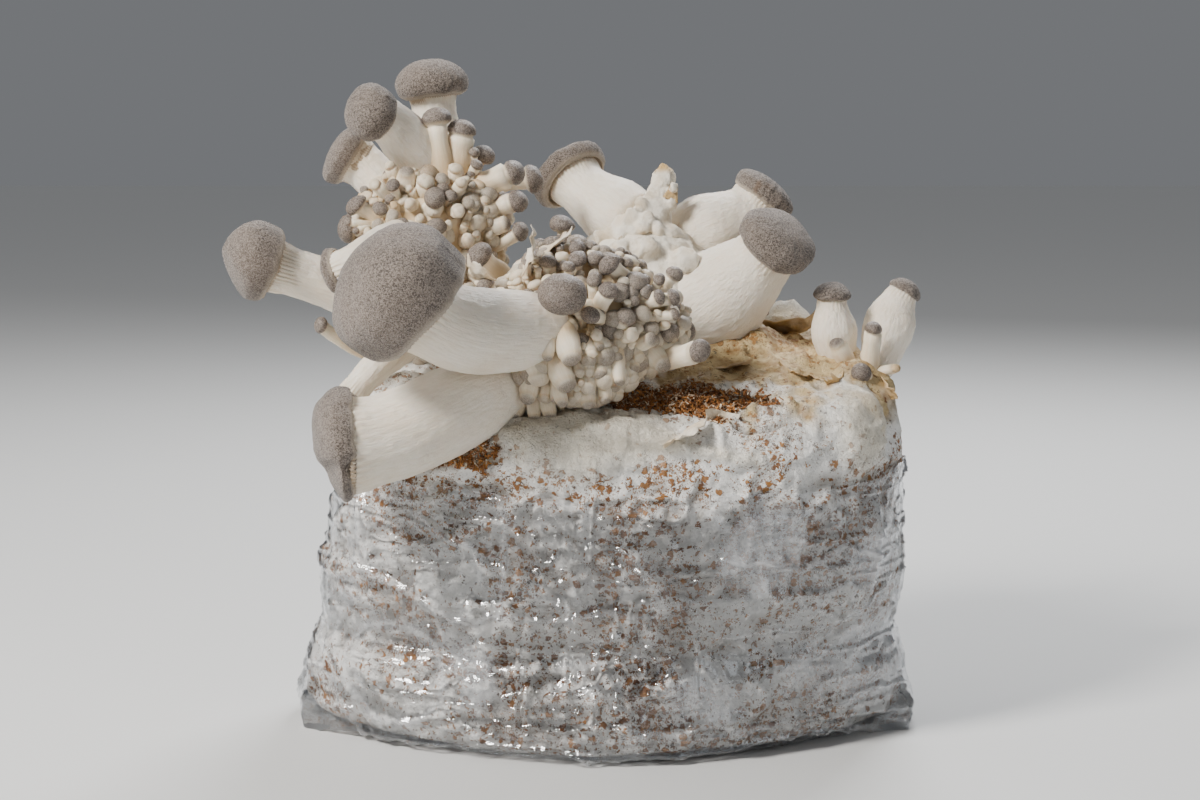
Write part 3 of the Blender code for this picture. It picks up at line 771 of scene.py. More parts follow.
def makeStem(name, seat, facing, capRadius, shape, seed):
    foot = np.array(shape["foot"]) * mm
    reach = np.linalg.norm(seat - foot)
    early, late = foot + (seat - foot) * 0.35, seat - facing * reach * 0.35
    fat = max(shape["radii"])
    rows = int(np.clip(reach / (0.6 * mm), 40, 90))
    cols = 208 if fat > 9 else 128 if fat > 5 else 80
    t = np.linspace(0, 1, rows)
    s = 1 - t
    line = np.outer(s ** 3, foot) + np.outer(3 * t * s * s, early) + np.outer(3 * t * t * s, late) \
        + np.outer(t ** 3, seat)
    radii = smoothBlend(shape["radii"], t) * mm
    ball = ease(t, 0, 0.16)  # the hidden end is rounded
    radii = radii * np.sqrt(np.clip(ball * (2 - ball), 0.04, 1))
    angles = fullTurn(cols)
    rings = np.zeros((rows, cols, 3))
    tangents = np.gradient(line, axis=0)
    across, _ = sideVectors(unit(tangents[0]))
    for k in range(rows):
        axis = unit(tangents[k])
        across = unit(across - axis * (across @ axis))
        other = np.cross(axis, across)
        rings[k] = line[k] + radii[k] * (np.outer(np.cos(angles), across) + np.outer(np.sin(angles), other))
    flat = rings.reshape(-1, 3)
    normals = (rings - line[:, None, :]) / radii[:, None, None]
    around = np.stack([np.tile(np.cos(angles), rows), np.tile(np.sin(angles), rows),
                       np.repeat(t, cols)], axis=1)
    ring = np.repeat(radii, cols)
    wrapped = around * np.stack([ring, ring, np.full(len(ring), reach)], axis=1)
    lumps = roughNoise(flat, reach * 0.42, seed, 2) * 0.035 * ring
    lumps += softNoise(wrapped, np.array([2.6, 2.6, 7]) * mm, seed + 1) * 0.07 * mm
    lumps += ridges(wrapped, np.array([1.1, 1.1, 4]) * mm, seed + 2) * 0.05 * mm
    lumps += ridges(flat, 2.4 * mm, seed + 6) * 0.16 * mm + softNoise(flat, 1.3 * mm, seed + 7) * 0.07 * mm
    swirl = np.tile(angles, rows) + 0.05 * softNoise(wrapped, 5 * mm, seed + 8)
    gills = np.abs(np.sin(swirl * (cols // 5) / 2 + seed))
    ragged = softNoise(around * np.array([3, 3, 0]), 1.0, seed + 9)
    start = 1 - shape.get("gillLine", 0.08) * (1.4 + 0.8 * ragged)
    nearCap = ease(np.repeat(t, cols), start, start + 0.12)
    lumps += nearCap * gills * 0.30 * mm
    flare = np.repeat(ease(t, 0.78, 1.0) ** 2, cols) * 0.09 * capRadius
    points = flat + normals.reshape(-1, 3) * (lumps + flare)[:, None]
    # warm tan towards the foot, just under the cap and in patches, and painted shade in the grooves between
    # the gill ridges
    warm = np.repeat(0.22 * (1 - ease(t, 0.0, 0.30)) + 0.12 * ease(t, 0.85, 1.0), cols) \
        + nearCap * (1 - gills) * 0.45 + 0.22 * np.clip(softNoise(flat, 9 * mm, seed + 5), 0, 1)
    grain = np.stack([around[:, 0] * ring / (0.8 * mm), around[:, 1] * ring / (0.8 * mm),
                      np.repeat(t, cols) * reach / (6 * mm)], axis=1)
    thing = makeMesh(name + "Stem", np.vstack([points, [line[0]], [line[-1]]]), tubeFaces(rows, cols),
                     dict(warm=np.append(warm, [0.4, 0.4])),
                     dict(grain=np.vstack([grain, grain[:1], grain[-1:]])))
    finishPiece(thing, surfaces["stem"], "stem_flesh", name + "_stem")


capShape = dict(widest=0.40, most=0.42, edge=0.55, hang=0.08, recess=0.10, fall=3.0,
                domeRows=34, curlRows=14, edgeRows=5, underRows=20)


def capProfile(radius, height, neckRadius, shape):
    # rows of out and up from the seat, and shares of rim and of underside: over the dome, round the
    # curled rim and in under it to the stem
    c = capShape
    roll, edge = shape["lip"] * radius, c["edge"] * mm
    widest = min(shape.get("widest", c["widest"]) * height, c["most"] * radius)
    profile = []
    for a in np.linspace(0.02, 0.5 * math.pi, c["domeRows"]):
        up = widest + (height - widest) * math.cos(a) ** shape["full"]
        profile.append((radius * math.sin(a), up, 0, 0))
    for a in np.linspace(0.1, 1, c["curlRows"]) * 0.5 * math.pi:  # the rim curls in underneath
        up = widest - (widest + c["hang"] * height) * math.sin(a)
        profile.append((radius - roll * (1 - math.cos(a)), up, float(ease(a, 0.7, 1.4)), 0))
    inner, bottom = profile[-1][:2]
    for a in np.linspace(0.2, 1, c["edgeRows"]) * math.pi:  # its thin rounded edge
        out, up = inner - edge * (1 - math.cos(a)) * 0.5, bottom - edge * 0.5 * math.sin(a)
        profile.append((out, up, 1, float(ease(a, 1.2, 2.6))))
    inner = profile[-1][0]
    hollow = shape.get("recess", c["recess"]) * radius
    fall = min(0.30 * radius, c["fall"] * mm)
    for k in np.linspace(0.04, 1, c["underRows"]):
        up = bottom + hollow * math.sin(math.pi * min(1, 1.5 * k)) * float(k < 0.667) - fall * k ** 3
        profile.append((inner + (neckRadius - inner) * k, up, 0, 1))
    return np.ascontiguousarray(np.array(profile, float).T)


def makeCap(name, seat, facing, radius, height, neckRadius, shape, seed):
    cols = 288 if radius > 12 * mm else 200 if radius > 7 * mm else 128
    out, up, rim, under = capProfile(radius, height, neckRadius, shape)
    rows = len(out)
    angles = fullTurn(cols)
    across, other = sideVectors(facing)
    circle = np.outer(np.cos(angles), across) + np.outer(np.sin(angles), other)
    around = np.stack([np.cos(angles), np.sin(angles), np.zeros(cols)], axis=1)
    sway = 0.035 * softNoise(around * 1.3, 1.0, seed) + 0.014 * softNoise(around * 4, 1.0, seed + 1) \
        + 0.008 * softNoise(around * 11, 1.0, seed + 9)
    wave = 0.05 * softNoise(around * 1.6, 1.0, seed + 2) + 0.02 * softNoise(around * 6, 1.0, seed + 8)
    share = out / radius
    # towards its lowest side a drooping cap thins out to a pointed lip
    low = ease(-circle[:, 2] / max(0.2, np.abs(circle[:, 2]).max()), 0.15, 1.0)
    thin = 1 - shape.get("droop", 0.0) * np.outer(share ** 1.5 * (1 - under), low)
    lift = np.outer(share ** 3, wave) * radius
    rings = seat + out[:, None, None] * circle * (1 + np.outer(share, sway))[:, :, None] \
        + facing * (up[:, None] * thin + lift)[:, :, None]
    if "ear" in shape:  # the top of the rim stands up and folds outwards
        high = ease(circle[:, 2] / np.abs(circle[:, 2]).max(), 0.72, 1.0)
        rings -= facing * (np.outer(share ** 6, high) * shape["ear"] * mm)[:, :, None]
        rings += np.array([0, 0, 1]) * (np.outer(share ** 6, high) * 0.7 * mm)[:, :, None]
    gills = np.abs((np.arange(cols) / 2.0) % 2 - 1)
    rings -= facing * (np.outer(under * ease(share, 0.2, 0.5), gills) * 0.45 * mm)[:, :, None]
    flat = rings.reshape(-1, 3)
    dome = np.repeat(1 - under, cols)
    normals = gridNormals(rings).reshape(-1, 3)
    middle = seat + facing * height * 0.3
    flip = np.sign(((flat - middle) * normals).sum(axis=1).mean())
    lumps = roughNoise(flat, radius * 0.6, seed + 3, 3) * 0.02 * radius
    lumps += roughNoise(flat, 1.3 * mm, seed + 4, 2) * 0.055 * mm
    if "dent" in shape:
        offset = (flat - seat) @ np.array([0, 0, 1]) / radius + shape["dent"][0]
        lumps -= np.exp(-(offset / 0.22) ** 2) * shape["dent"][1] * mm \
            * ease(np.repeat(share, cols), 0.15, 0.7)
    points = flat + normals * flip * (lumps * dome)[:, None]
    ray = np.tile(angles, rows)
    tone = 0.5 + 0.5 * np.sin(ray * (cols // 4)) * 0.6 + 0.2 * softNoise(flat, 3 * mm, seed + 6)
    tone *= np.repeat(0.35 + 0.65 * ease(np.abs(np.linspace(-1, 1, rows)), 0, 0.4), cols)
    bruise = np.zeros(len(flat))
    if "bruise" in shape:
        bruise = ease(roughNoise(flat, 6 * mm, seed + 7, 3), 0.15, 0.8) * dome \
            * np.repeat(ease(share, 0.75, 0.98), cols)
    masks = dict(rim=np.repeat(rim, cols), under=np.repeat(under, cols), gill=np.clip(tone, 0, 1),
                 bruise=bruise)
    masks = {key: np.append(value, [0.0, value[-1]]) for key, value in masks.items()}
    ends = [seat + facing * height, seat + facing * up[-1]]
    thing = makeMesh(name + "Cap", np.vstack([points, ends]), tubeFaces(rows, cols), masks)
    finishPiece(thing, surfaces["cap"], "cap_felt", name + "_cap")


for number, (name, shape) in enumerate(mushrooms.items()):
    seat, facing, radius, height = measureCap(name + "_cap")
    makeStem(name, seat, facing, radius, shape, 100 + 10 * number)
    makeCap(name, seat, facing, radius, height, shape["radii"][-1] * mm * 1.03, shape, 105 + 10 * number)
print("mushrooms made")


# kinds of pin: how far the head reaches above and below its widest place, and the width of its neck
pinKinds = dict(ball=(0.88, 0.62, 0.86), button=(0.84, 0.50, 0.88), club=(0.92, 0.45, 0.78),
                knob=(0.95, 0.5, 0.95))


def pinRings(foot, tip, body, head, kind, rng, cols):
    # one pin as rings, with how much of each ring is cap
    axis = unit(tip - foot)
    across, other = sideVectors(axis)
    length = np.linalg.norm(tip - foot)
    bend = unit(across * rng.normal() + other * rng.normal()) * length * rng.uniform(0.02, 0.09)
    above, below, neckShare = pinKinds[kind]
    tall, under = head * above, head * below
    neckAt = max(0.2, 1 - (tall + under) / length)
    neck = neckShare * min(body, head * 1.15)
    along, radius, cap = [], [], []
    for k in np.linspace(0, 1, 8):
        along.append(neckAt * k)
        swell = ease(k, 0.45, 1.0)
        if kind == "club":  # a fat drop that narrows gently to its tip
            radius.append(body * (0.5 + 0.5 * math.sin(math.pi * (0.08 + 0.62 * k))))
        else:
            plain = body * (0.72 + 0.28 * math.sin(math.pi * min(1, 0.25 + k)))
            radius.append(plain * (1 - swell) + neck * swell)
        cap.append(0.0)
    if kind == "club":
        head = max(head, body * 0.82)
    turns = [-14, 2, 18, 34, 50, 64, 78] if kind == "club" else [-62, -38, -12, 12, 36, 58, 78]
    for a in np.radians(turns):
        along.append(1 - (tall - (tall if a > 0 else under) * math.sin(a)) / length)
        radius.append(max(head * math.cos(a), neck * 0.9 if a < -0.9 else 0))
        cap.append(float(ease(a, *((-0.1, 0.8) if kind == "club" else (-0.85, -0.35)))))
    along, radius, cap = np.array(along), np.array(radius), np.array(cap)
    angles = fullTurn(cols) + rng.uniform(0, 6)
    line = foot + np.outer(along, tip - foot) + np.outer(np.sin(along * math.pi), bend)
    squash = 1 + rng.uniform(-0.12, 0.12)
    circle = np.outer(np.cos(angles) * squash, across) + np.outer(np.sin(angles) / squash, other)
    rings = line[:, None, :] + radius[:, None, None] * circle[None]
    return rings, line, along, cap, angles


def addPin(store, foot, tip, body, head, kind, rng, grey, dry, cols, rough):
    rings, line, along, cap, angles = pinRings(foot, tip, body, head, kind, rng, cols)
    rows = len(rings)
    flat = rings.reshape(-1, 3)
    centre = np.repeat(line, cols, axis=0)
    seed = int(rng.integers(1000))
    lumps = roughNoise(flat, head * 0.9, seed, 2) * rough
    flat = flat + (flat - centre) * lumps[:, None]
    if kind == "knob":  # a dimpled, half shrivelled tip
        tipward = ease(np.repeat(along, cols), 0.75, 1.0)
        flat = flat - unit(tip - foot) * (tipward ** 3 * head * 0.18)[:, None]
        flat = flat + (flat - centre) * (softNoise(flat, head * 0.5, seed + 1) * 0.16 * tipward)[:, None]
        tip = tip - unit(tip - foot) * head * 0.28
    start = len(store["points"])
    store["points"] += list(flat) + [line[0], tip]
    store["faces"] += tubeFaces(rows, cols, start)
    store["cap"] += list(np.repeat(cap * grey, cols)) + [0, grey]
    neckAt = 1 - head / np.linalg.norm(tip - foot)
    # ochre as painted shade at the pin's foot, where it meets the mass, and in a band under its head; the
    # dried tip is its own colour
    base = 0.60 * (1 - ease(along, 0.25, 0.75)) \
        + 0.30 * ease(-np.abs(along - neckAt), -0.08, 0.0) * (kind != "ball")
    driedAndShaded = np.repeat(base + dry * ease(along, 0.72, 1.0), cols) \
        + 0.30 * np.clip(softNoise(flat, head * 0.8, seed + 2), 0, 1) * (kind == "knob")
    store["dry"] += list(np.clip(driedAndShaded, 0, 1)) + [0.5, min(1, dry + 0.35 * (kind == "knob"))]
    grain = np.stack([np.tile(np.cos(angles), rows) * 4, np.tile(np.sin(angles), rows) * 4,
                      np.repeat(along * 1.6, cols)], axis=1)
    store["grain"] += list(grain) + [grain[0], grain[-1]]


def newStore():
    return dict(points=[], faces=[], cap=[], dry=[], grain=[])


def storeMesh(name, store):
    return makeMesh(name, store["points"], store["faces"], dict(cap=store["cap"], dry=store["dry"]),
                    dict(grain=store["grain"]))


# the larger pins, each a node of its own: hidden end, radius of its body and of its head, in mm
largerPins = {
    "nub": dict(foot=(-53, -7, 180), body=3.6, cap=4.9),
    "bud": dict(foot=(-50, -3, 182), body=4.9, cap=4.5),
    "sideways": dict(foot=(-46, -4, 176), body=5.4, cap=4.7),
    "behind": dict(foot=(-44, 10, 176), body=3.8, cap=4.8),
    "lower": dict(foot=(-42, -6, 168), body=4.2, cap=4.2),
    "lowest": dict(foot=(-44, -6, 156), body=3.0, cap=3.6),
    "resting": dict(foot=(-34, -26, 150), body=3.8, cap=4.4),
    "ball": dict(foot=(-13, -56, 142), body=4.0, cap=7.0, kind="ball"),
    "lookout": dict(foot=(-14, -34, 150), body=2.6, cap=4.3),
    "sprout": dict(foot=(-72, -30, 124), body=2.6, cap=2.8),
    "pushed": dict(foot=(15, -44, 126), body=4.4, cap=3.8),
    "small_twin": dict(foot=(85, -8, 110), body=4.4, cap=3.2),
    "thumb": dict(foot=(81, -7, 116), body=3.2, cap=2.0, kind="club"),
    "knuckle": dict(foot=(85, -8, 112), body=3.6, cap=3.4, kind="ball"),
    "stub": dict(foot=(86, -6, 114), body=2.8, cap=1.7, kind="knob", dry=0.8, grey=0.1),
}

for number, (name, shape) in enumerate(largerPins.items()):
    foot = np.array(shape["foot"]) * mm
    points = np.array([v.co[:] for v in nodes[name + "_pin"].data.vertices])
    tip = points[int(np.argmax(np.linalg.norm(points - foot, axis=1)))]
    store = newStore()
    addPin(store, foot, tip, shape["body"] * mm, shape["cap"] * mm, shape.get("kind", "button"),
           np.random.default_rng(300 + number), shape.get("grey", 1.0), shape.get("dry", 0.0), 56, 0.04)
    finishPiece(storeMesh(name + "Pin", store), surfaces["pin"], "pin_flesh", name + "_pin")
print("larger pins made")


def spreadPoints(node, sizes, taken, others, rng, tries=14000):
    # points over a solid's outside with room for pins of mixed sizes, away from its neighbours
    mesh = nodes[node].data
    corners = listed(mesh.vertices, "co")
    faces = mesh.polygons
    areas = np.array([p.area for p in faces])
    picks = rng.choice(len(faces), tries, p=areas / areas.sum())
    near = bvhOf(*others)
    kept, radii, made = [at for at, _ in taken], [r for _, r in taken], []
    for number, k in enumerate(picks):
        ids = faces[k].vertices
        a, b = sorted(rng.uniform(size=2))
        at = corners[ids[0]] * a + corners[ids[1]] * (b - a) + corners[ids[2]] * (1 - b)
        size = np.interp(number / tries, [0, 0.08, 0.3, 1], sizes) * rng.uniform(0.85, 1.15) * mm
        if near.find_nearest(Vector(at))[3] < 1.6 * mm:
            continue
        if kept and np.min(np.linalg.norm(np.array(kept) - at, axis=1) - np.array(radii)) < size * 0.74:
            continue
        kept.append(at)
        radii.append(size * 0.74)
        made.append((at, np.array(faces[k].normal[:]), size))
    return made


def addCore(store, node, depth, seed):
    # the grown mass under the pins: the solid drawn in and made lumpy
    mesh = nodes[node].data
    bm = bmesh.new()
    bm.from_mesh(mesh)
    bmesh.ops.remove_doubles(bm, verts=bm.verts, dist=0.05 * mm)
    bmesh.ops.subdivide_edges(bm, edges=bm.edges, cuts=2, use_grid_fill=True)
    for _ in range(4):
        bmesh.ops.smooth_vert(bm, verts=bm.verts, factor=0.5, use_axis_x=True, use_axis_y=True,
                              use_axis_z=True)
    bm.normal_update()
    points = listed(bm.verts, "co")
    normals = listed(bm.verts, "normal")
    points = points - normals * ((depth + 1.6 * roughNoise(points, 8 * mm, seed, 2)) * mm)[:, None]
    start = len(store["points"])
    bm.verts.index_update()
    store["faces"] += [tuple(start + v.index for v in f.verts) for f in bm.faces]
    store["points"] += list(points)
    store["cap"] += [0.0] * len(points)
    # the core shows only between the pins, so its ochre is painted shade
    store["dry"] += list(np.clip(0.65 + 0.35 * softNoise(points, 6 * mm, seed + 1), 0, 1))
    store["grain"] += list(points / (1.5 * mm))
    bm.free()


# pins that stand out, placed in shares of the cluster's box: across, deep and up; then the radii of
# body and head in mm, the way it leans across and up, and its kind
upperPins = dict(
    node="upper_cluster", depth=3.8, seed=71, sizes=(4.2, 3.3, 2.3, 1.4),
    others=("substrate_block", "mycelium_mound", "front_cluster"),
    placed=[
        (0.55, 0.03, 0.84, 3.5, 3.8, 0.0, 0.45, "ball"), (0.56, 0.00, 0.71, 3.0, 3.1, 0.0, 0.55, "ball"),
        (0.56, 0.06, 0.78, 4.4, 3.0, 0.1, 0.10, "knob"), (0.30, 0.10, 0.90, 1.9, 2.6, -0.3, 0.9, "button"),
        (0.65, 0.10, 0.84, 1.9, 2.3, 0.2, 0.5, "ball"), (0.35, 0.00, 0.70, 2.7, 2.8, -0.8, 0.05, "ball"),
        (0.05, 0.16, 0.80, 2.6, 3.6, -0.6, 0.5, "button"),
        (-0.03, 0.34, 0.67, 2.8, 4.6, -1.2, 0.05, "button"),
        (0.21, 0.10, 0.78, 3.2, 2.6, -0.3, 0.3, "ball"), (0.38, 0.20, 0.96, 3.2, 2.3, 0.1, 0.9, "club"),
        (0.03, 0.12, 0.71, 1.5, 1.5, -0.5, 0.1, "ball"), (0.08, 0.10, 0.67, 1.4, 1.4, -0.3, -0.1, "ball"),
        (0.15, 0.07, 0.67, 1.7, 1.6, -0.3, 0.2, "knob"), (0.84, 0.55, 1.05, 2.2, 3.9, 0.6, 0.9, "button"),
        (0.77, 0.42, 1.05, 1.8, 2.1, 0.3, 0.9, "ball"), (0.79, 0.30, 0.99, 1.9, 2.1, 0.4, 0.7, "ball"),
        (0.97, 0.28, 0.70, 3.0, 2.6, 0.9, 0.2, "club"), (0.27, 0.24, 0.99, 3.2, 1.9, -0.4, 0.8, "knob"),
        (0.49, 0.12, 0.92, 4.6, 2.9, 0.1, 0.5, "knob"), (0.70, 0.04, 0.76, 3.3, 2.2, 0.2, 0.1, "knob"),
        (0.75, 0.08, 0.63, 3.0, 2.2, 0.3, 0.0, "knob"), (0.71, 0.15, 0.91, 3.1, 2.0, 0.2, 0.5, "knob"),
        (0.66, 0.28, 0.98, 3.6, 2.3, 0.1, 0.8, "knob"), (0.44, 0.04, 0.66, 3.4, 2.2, -0.1, 0.1, "knob"),
        (0.18, 0.14, 0.90, 3.6, 2.0, -0.5, 0.5, "knob"), (0.40, 0.05, 0.80, 3.0, 1.9, -0.2, 0.2, "knob"),
    ])


frontPins = dict(
    node="front_cluster", depth=4.2, seed=72, sizes=(3.7, 2.9, 2.1, 1.3),
    others=("substrate_block", "mycelium_mound", "upper_cluster"),
    placed=[
        (0.36, 0.55, 0.98, 2.4, 2.7, 0.0, 1.4, "ball"), (0.34, 0.28, 0.88, 2.6, 2.7, 0.0, 1.0, "ball"),
        (0.25, 0.34, 0.86, 1.6, 1.4, -0.1, 1.2, "ball"), (0.47, 0.44, 0.96, 1.8, 3.0, 0.1, 1.2, "button"),
        (0.47, 0.28, 0.90, 1.9, 3.0, 0.0, 1.0, "button"), (0.55, 0.30, 0.90, 2.0, 2.9, -0.1, 1.0, "ball"),
        (0.60, 0.22, 0.87, 2.8, 3.6, -0.6, 0.6, "button"), (0.43, 0.18, 0.85, 1.8, 2.2, 0.0, 0.8, "ball"),
        (0.55, 0.12, 0.79, 2.4, 2.6, -0.1, 0.8, "ball"), (0.62, 0.10, 0.73, 3.0, 3.1, 0.4, 0.8, "button"),
        (0.23, 0.12, 0.67, 2.7, 2.5, 0.4, 0.7, "ball"), (0.05, 0.34, 0.74, 2.6, 3.1, -0.4, 0.6, "ball"),
        (0.52, 0.04, 0.57, 3.1, 3.0, -0.3, 0.2, "button"), (0.56, 0.03, 0.46, 2.0, 1.7, 0.0, 0.1, "knob"),
        (0.84, 0.26, 0.67, 2.6, 2.4, 0.9, 0.4, "button"), (0.91, 0.33, 0.66, 2.3, 2.8, 0.9, 0.3, "button"),
        (0.91, 0.30, 0.56, 1.8, 2.0, 0.9, 0.2, "ball"), (0.72, 0.12, 0.47, 2.2, 2.3, 0.5, 0.2, "knob"),
        (0.80, 0.20, 0.43, 2.6, 2.4, 0.6, 0.2, "club"), (0.84, 0.38, 0.77, 1.8, 2.2, 0.4, 0.9, "ball"),
        (0.92, 0.50, 0.80, 2.4, 3.0, 0.5, 0.7, "ball"), (0.86, 0.32, 0.26, 4.0, 2.2, 0.5, -0.5, "club"),
        (0.94, 0.42, 0.30, 4.0, 2.2, 0.6, -0.2, "club"), (0.45, -0.04, 0.32, 3.7, 2.7, 0.2, -0.7, "club"),
        (0.43, -0.02, 0.17, 4.3, 3.1, 0.4, -0.9, "club"), (0.25, 0.13, 0.08, 3.5, 2.4, -0.3, -0.9, "club"),
        (0.28, 0.26, -0.03, 2.3, 1.5, 0.0, -1.2, "club"), (0.35, 0.26, -0.02, 2.6, 1.5, 0.1, -1.2, "club"),
        (0.17, 0.30, -0.02, 3.9, 2.1, -0.4, -0.9, "club"), (0.41, 0.04, 0.07, 2.5, 1.9, 0.1, -1.0, "club"),
        (0.52, 0.12, 0.05, 2.7, 1.9, 0.2, -1.0, "club"), (0.59, 0.13, 0.08, 2.5, 1.8, 0.2, -1.0, "club"),
        (0.54, 0.00, 0.36, 2.4, 1.6, 0.0, -0.3, "knob"), (0.21, 0.03, 0.31, 4.4, 2.4, -0.7, -0.7, "club"),
        (0.34, -0.01, 0.34, 2.2, 1.3, 0.0, -1.2, "club"), (0.66, 0.10, 0.19, 2.6, 1.5, 0.0, -1.1, "club"),
        (0.12, 0.30, 0.12, 1.9, 1.5, -0.6, -0.5, "ball"), (0.14, 0.10, 0.46, 3.2, 1.8, -0.5, -0.4, "club"),
    ])


def makeCluster(name, c, chooser):
    rng = np.random.default_rng(c["seed"])
    low, high = boxOf(c["node"])
    store = newStore()
    addCore(store, c["node"], c["depth"], c["seed"])
    taken = []
    for across, deep, up, body, head, leanAcross, leanUp, kind in c["placed"]:
        tip = low + np.array([across, deep, up]) * (high - low)
        forward = -0.2 if across < 0.1 or across > 0.88 else -0.6
        way = unit([leanAcross, forward, leanUp])
        tip = tip + way * 1.2 * mm
        length = (9.0 + body * 2) * mm
        grey = {"ball": 0.95, "button": 1.0, "club": 0.85, "knob": 0.12}[kind]
        addPin(store, tip - way * length, tip, body * mm, head * mm, kind, rng, grey, 0.1, 20,
               0.13 if kind == "knob" else 0.05)
        taken.append((tip - way * head * mm, max(body, head) * 0.9 * mm))
        if kind == "club":
            taken.append((tip - way * (head + body * 1.4) * mm, body * mm))
    spots = spreadPoints(c["node"], c["sizes"], taken, c["others"], rng)
    for at, normal, size in spots:
        chooser(store, at, normal, (at - low) / (high - low), size, rng)
    finishPiece(storeMesh(name, store), surfaces["pin"], "pin_flesh", c["node"])
    print(name, len(spots) + len(c["placed"]), "pins", len(store["faces"]), "faces")


def upperPin(store, at, normal, share, size, rng):
    way = unit(normal + np.array([0, -0.1, 0.35]) + rng.normal(0, 0.30, 3))
    kind = rng.choice(["knob", "ball", "club"], p=[0.58, 0.24, 0.18])
    head = size * {"knob": 0.85, "ball": 1.0, "club": 0.75}[kind]
    body = size * {"knob": 1.1, "ball": 0.82, "club": 1.0}[kind]
    tip = at + way * rng.uniform(-0.8, 1.2) * mm
    grey = {"knob": rng.uniform(0, 0.25), "ball": rng.uniform(0.6, 1.0), "club": rng.uniform(0.2, 0.7)}[kind]
    addPin(store, tip - way * (7 * mm + size * 1.6), tip, body, head, kind, rng, grey,
           rng.choice([0.05, 0.3, 0.7], p=[0.55, 0.3, 0.15]), 12, 0.24 if kind == "knob" else 0.08)


def frontPin(store, at, normal, share, size, rng):
    hanging = share[2] < 0.40
    if hanging:
        way = unit(normal + np.array([0, -0.2, -0.6]) + rng.normal(0, 0.18, 3))
        kind, head, body = "club", size * 0.9, size * 1.28
        grey, dry = rng.uniform(0.3, 0.85), rng.uniform(0.05, 0.3)
    else:
        way = unit(normal + np.array([0, -0.1, 0.6]) + rng.normal(0, 0.28, 3))
        kind = rng.choice(["ball", "knob", "button"], p=[0.32, 0.46, 0.22])
        head, body = size * {"ball": 0.95, "knob": 0.8, "button": 1.05}[kind], size * 0.85
        grey, dry = {"ball": rng.uniform(0.3, 1.0), "knob": rng.uniform(0.0, 0.3), "button": 0.9}[kind], 0.1
    tip = at + way * rng.uniform(-0.8, 1.4) * mm
    addPin(store, tip - way * (8 * mm + size * 1.8), tip, body, head, kind, rng, grey, dry, 12,
           0.2 if kind == "knob" else 0.06)


makeCluster("upperCluster", upperPins, upperPin)
makeCluster("frontCluster", frontPins, frontPin)


def ballMesh(bm, centre, radii, turn):  # one rough lump, joined to the rest when the mass is remade
    across, other = sideVectors(unit(turn))
    place = Matrix((across * radii[0], other * radii[1], unit(turn) * radii[2])).transposed().to_4x4()
    place.translation = Vector(centre)
    bmesh.ops.create_icosphere(bm, subdivisions=3, radius=1.0, matrix=place)


def makeSkin(name, node, slotName, shape):
    # the solid and the lumps on it become one skin, which is then wrinkled
    rng = np.random.default_rng(shape["seed"])
    bm = bmesh.new()
    bm.from_mesh(nodes[node].data)
    for at, radius in shape["lumps"]:
        radii = np.array([1, rng.uniform(0.7, 1.0), rng.uniform(0.8, 1.3)]) * radius * mm
        ballMesh(bm, np.array(at) * mm, radii, rng.normal(size=3))
    rough = bpy.data.meshes.new(name + "Rough")
    bm.to_mesh(rough)
    bm.free()
    thing = placed(name + "Rough", rough)
    remade = thing.modifiers.new("remade", "REMESH")
    remade.mode = "VOXEL"
    remade.voxel_size = shape["voxel"] * mm
    eased = thing.modifiers.new("eased", "SMOOTH")
    eased.factor, eased.iterations = 0.6, shape["ease"]
    whole = thing.evaluated_get(bpy.context.evaluated_depsgraph_get()).to_mesh()
    points = listed(whole.vertices, "co")
    normals = listed(whole.vertices, "normal")
    faces = [tuple(p.vertices) for p in whole.polygons]
    bpy.data.objects.remove(thing)
    seed, size = shape["seed"], shape["wrinkle"]
    lumps = roughNoise(points, size * 2.2 * mm, seed, 2) * 0.9
    creases = ridges(points, size * mm, seed + 3)
    lumps += creases * 0.8 + ridges(points, size * 0.45 * mm, seed + 5) * 0.35
    points = points + normals * ((lumps - 0.5) * shape["height"] * mm)[:, None]
    low, high = boxOf(node)
    points[:, 2] -= shape["sink"] * mm * (1 - ease(points[:, 2], low[2], low[2] + 10 * mm))
    ochre = ease((points[:, 2] - low[2]) / (high[2] - low[2]), *shape["ochre"])
    ochre = ochre + shape["stain"] * np.clip(softNoise(points, 6 * mm, seed + 9) + 0.2 - creases * 0.5, 0, 1)
    thing = makeMesh(name, points, faces, dict(ochre=np.clip(ochre, 0, 1)))
    finishPiece(thing, surfaces["mycelium"], slotName, node)


tornSheets = [  # dried skin: place, the way it lies, length, width, how far it curls, how yellow
    ((-30, -56, 158), (0.8, -0.3, 0.1), 13, 13, 32, 0.25),
    ((-20, -48, 160), (0.9, 0.2, 0.1), 10, 10, 28, 0.35),
    ((-37, -50, 156), (-0.5, -0.5, 0.5), 9, 9, 50, 0.30), ((22, 10, 174), (0.4, -0.4, 0.8), 6, 6, 50, 0.95),
    ((50, -30, 110), (0.3, -0.9, 0.0), 13, 17, 42, 0.45),
    ((40, -54, 104), (-0.5, 0.6, 0.3), 10, 14, 48, 0.35),
    ((14, -54, 105), (0.5, -0.9, -0.2), 10, 16, 26, 0.40),
    ((24, -58, 101), (0.1, -1.0, -0.3), 11, 20, 28, 0.30),
    ((62, -14, 120), (0.4, -0.9, 0.2), 12, 18, 35, 0.8),
    ((40, -12, 120), (0.2, -0.9, 0.1), 12, 18, 32, 0.85),
    ((56, 20, 132), (0.9, -0.4, 0.1), 20, 16, 35, 0.85), ((42, 14, 128), (0.7, -0.7, 0.1), 15, 14, 35, 0.9),
    ((90, -16, 112), (0.7, -0.6, 0.2), 7, 9, 45, 0.95), ((76, -19, 112), (-0.4, -0.8, 0.4), 8, 8, 60, 0.9),
]


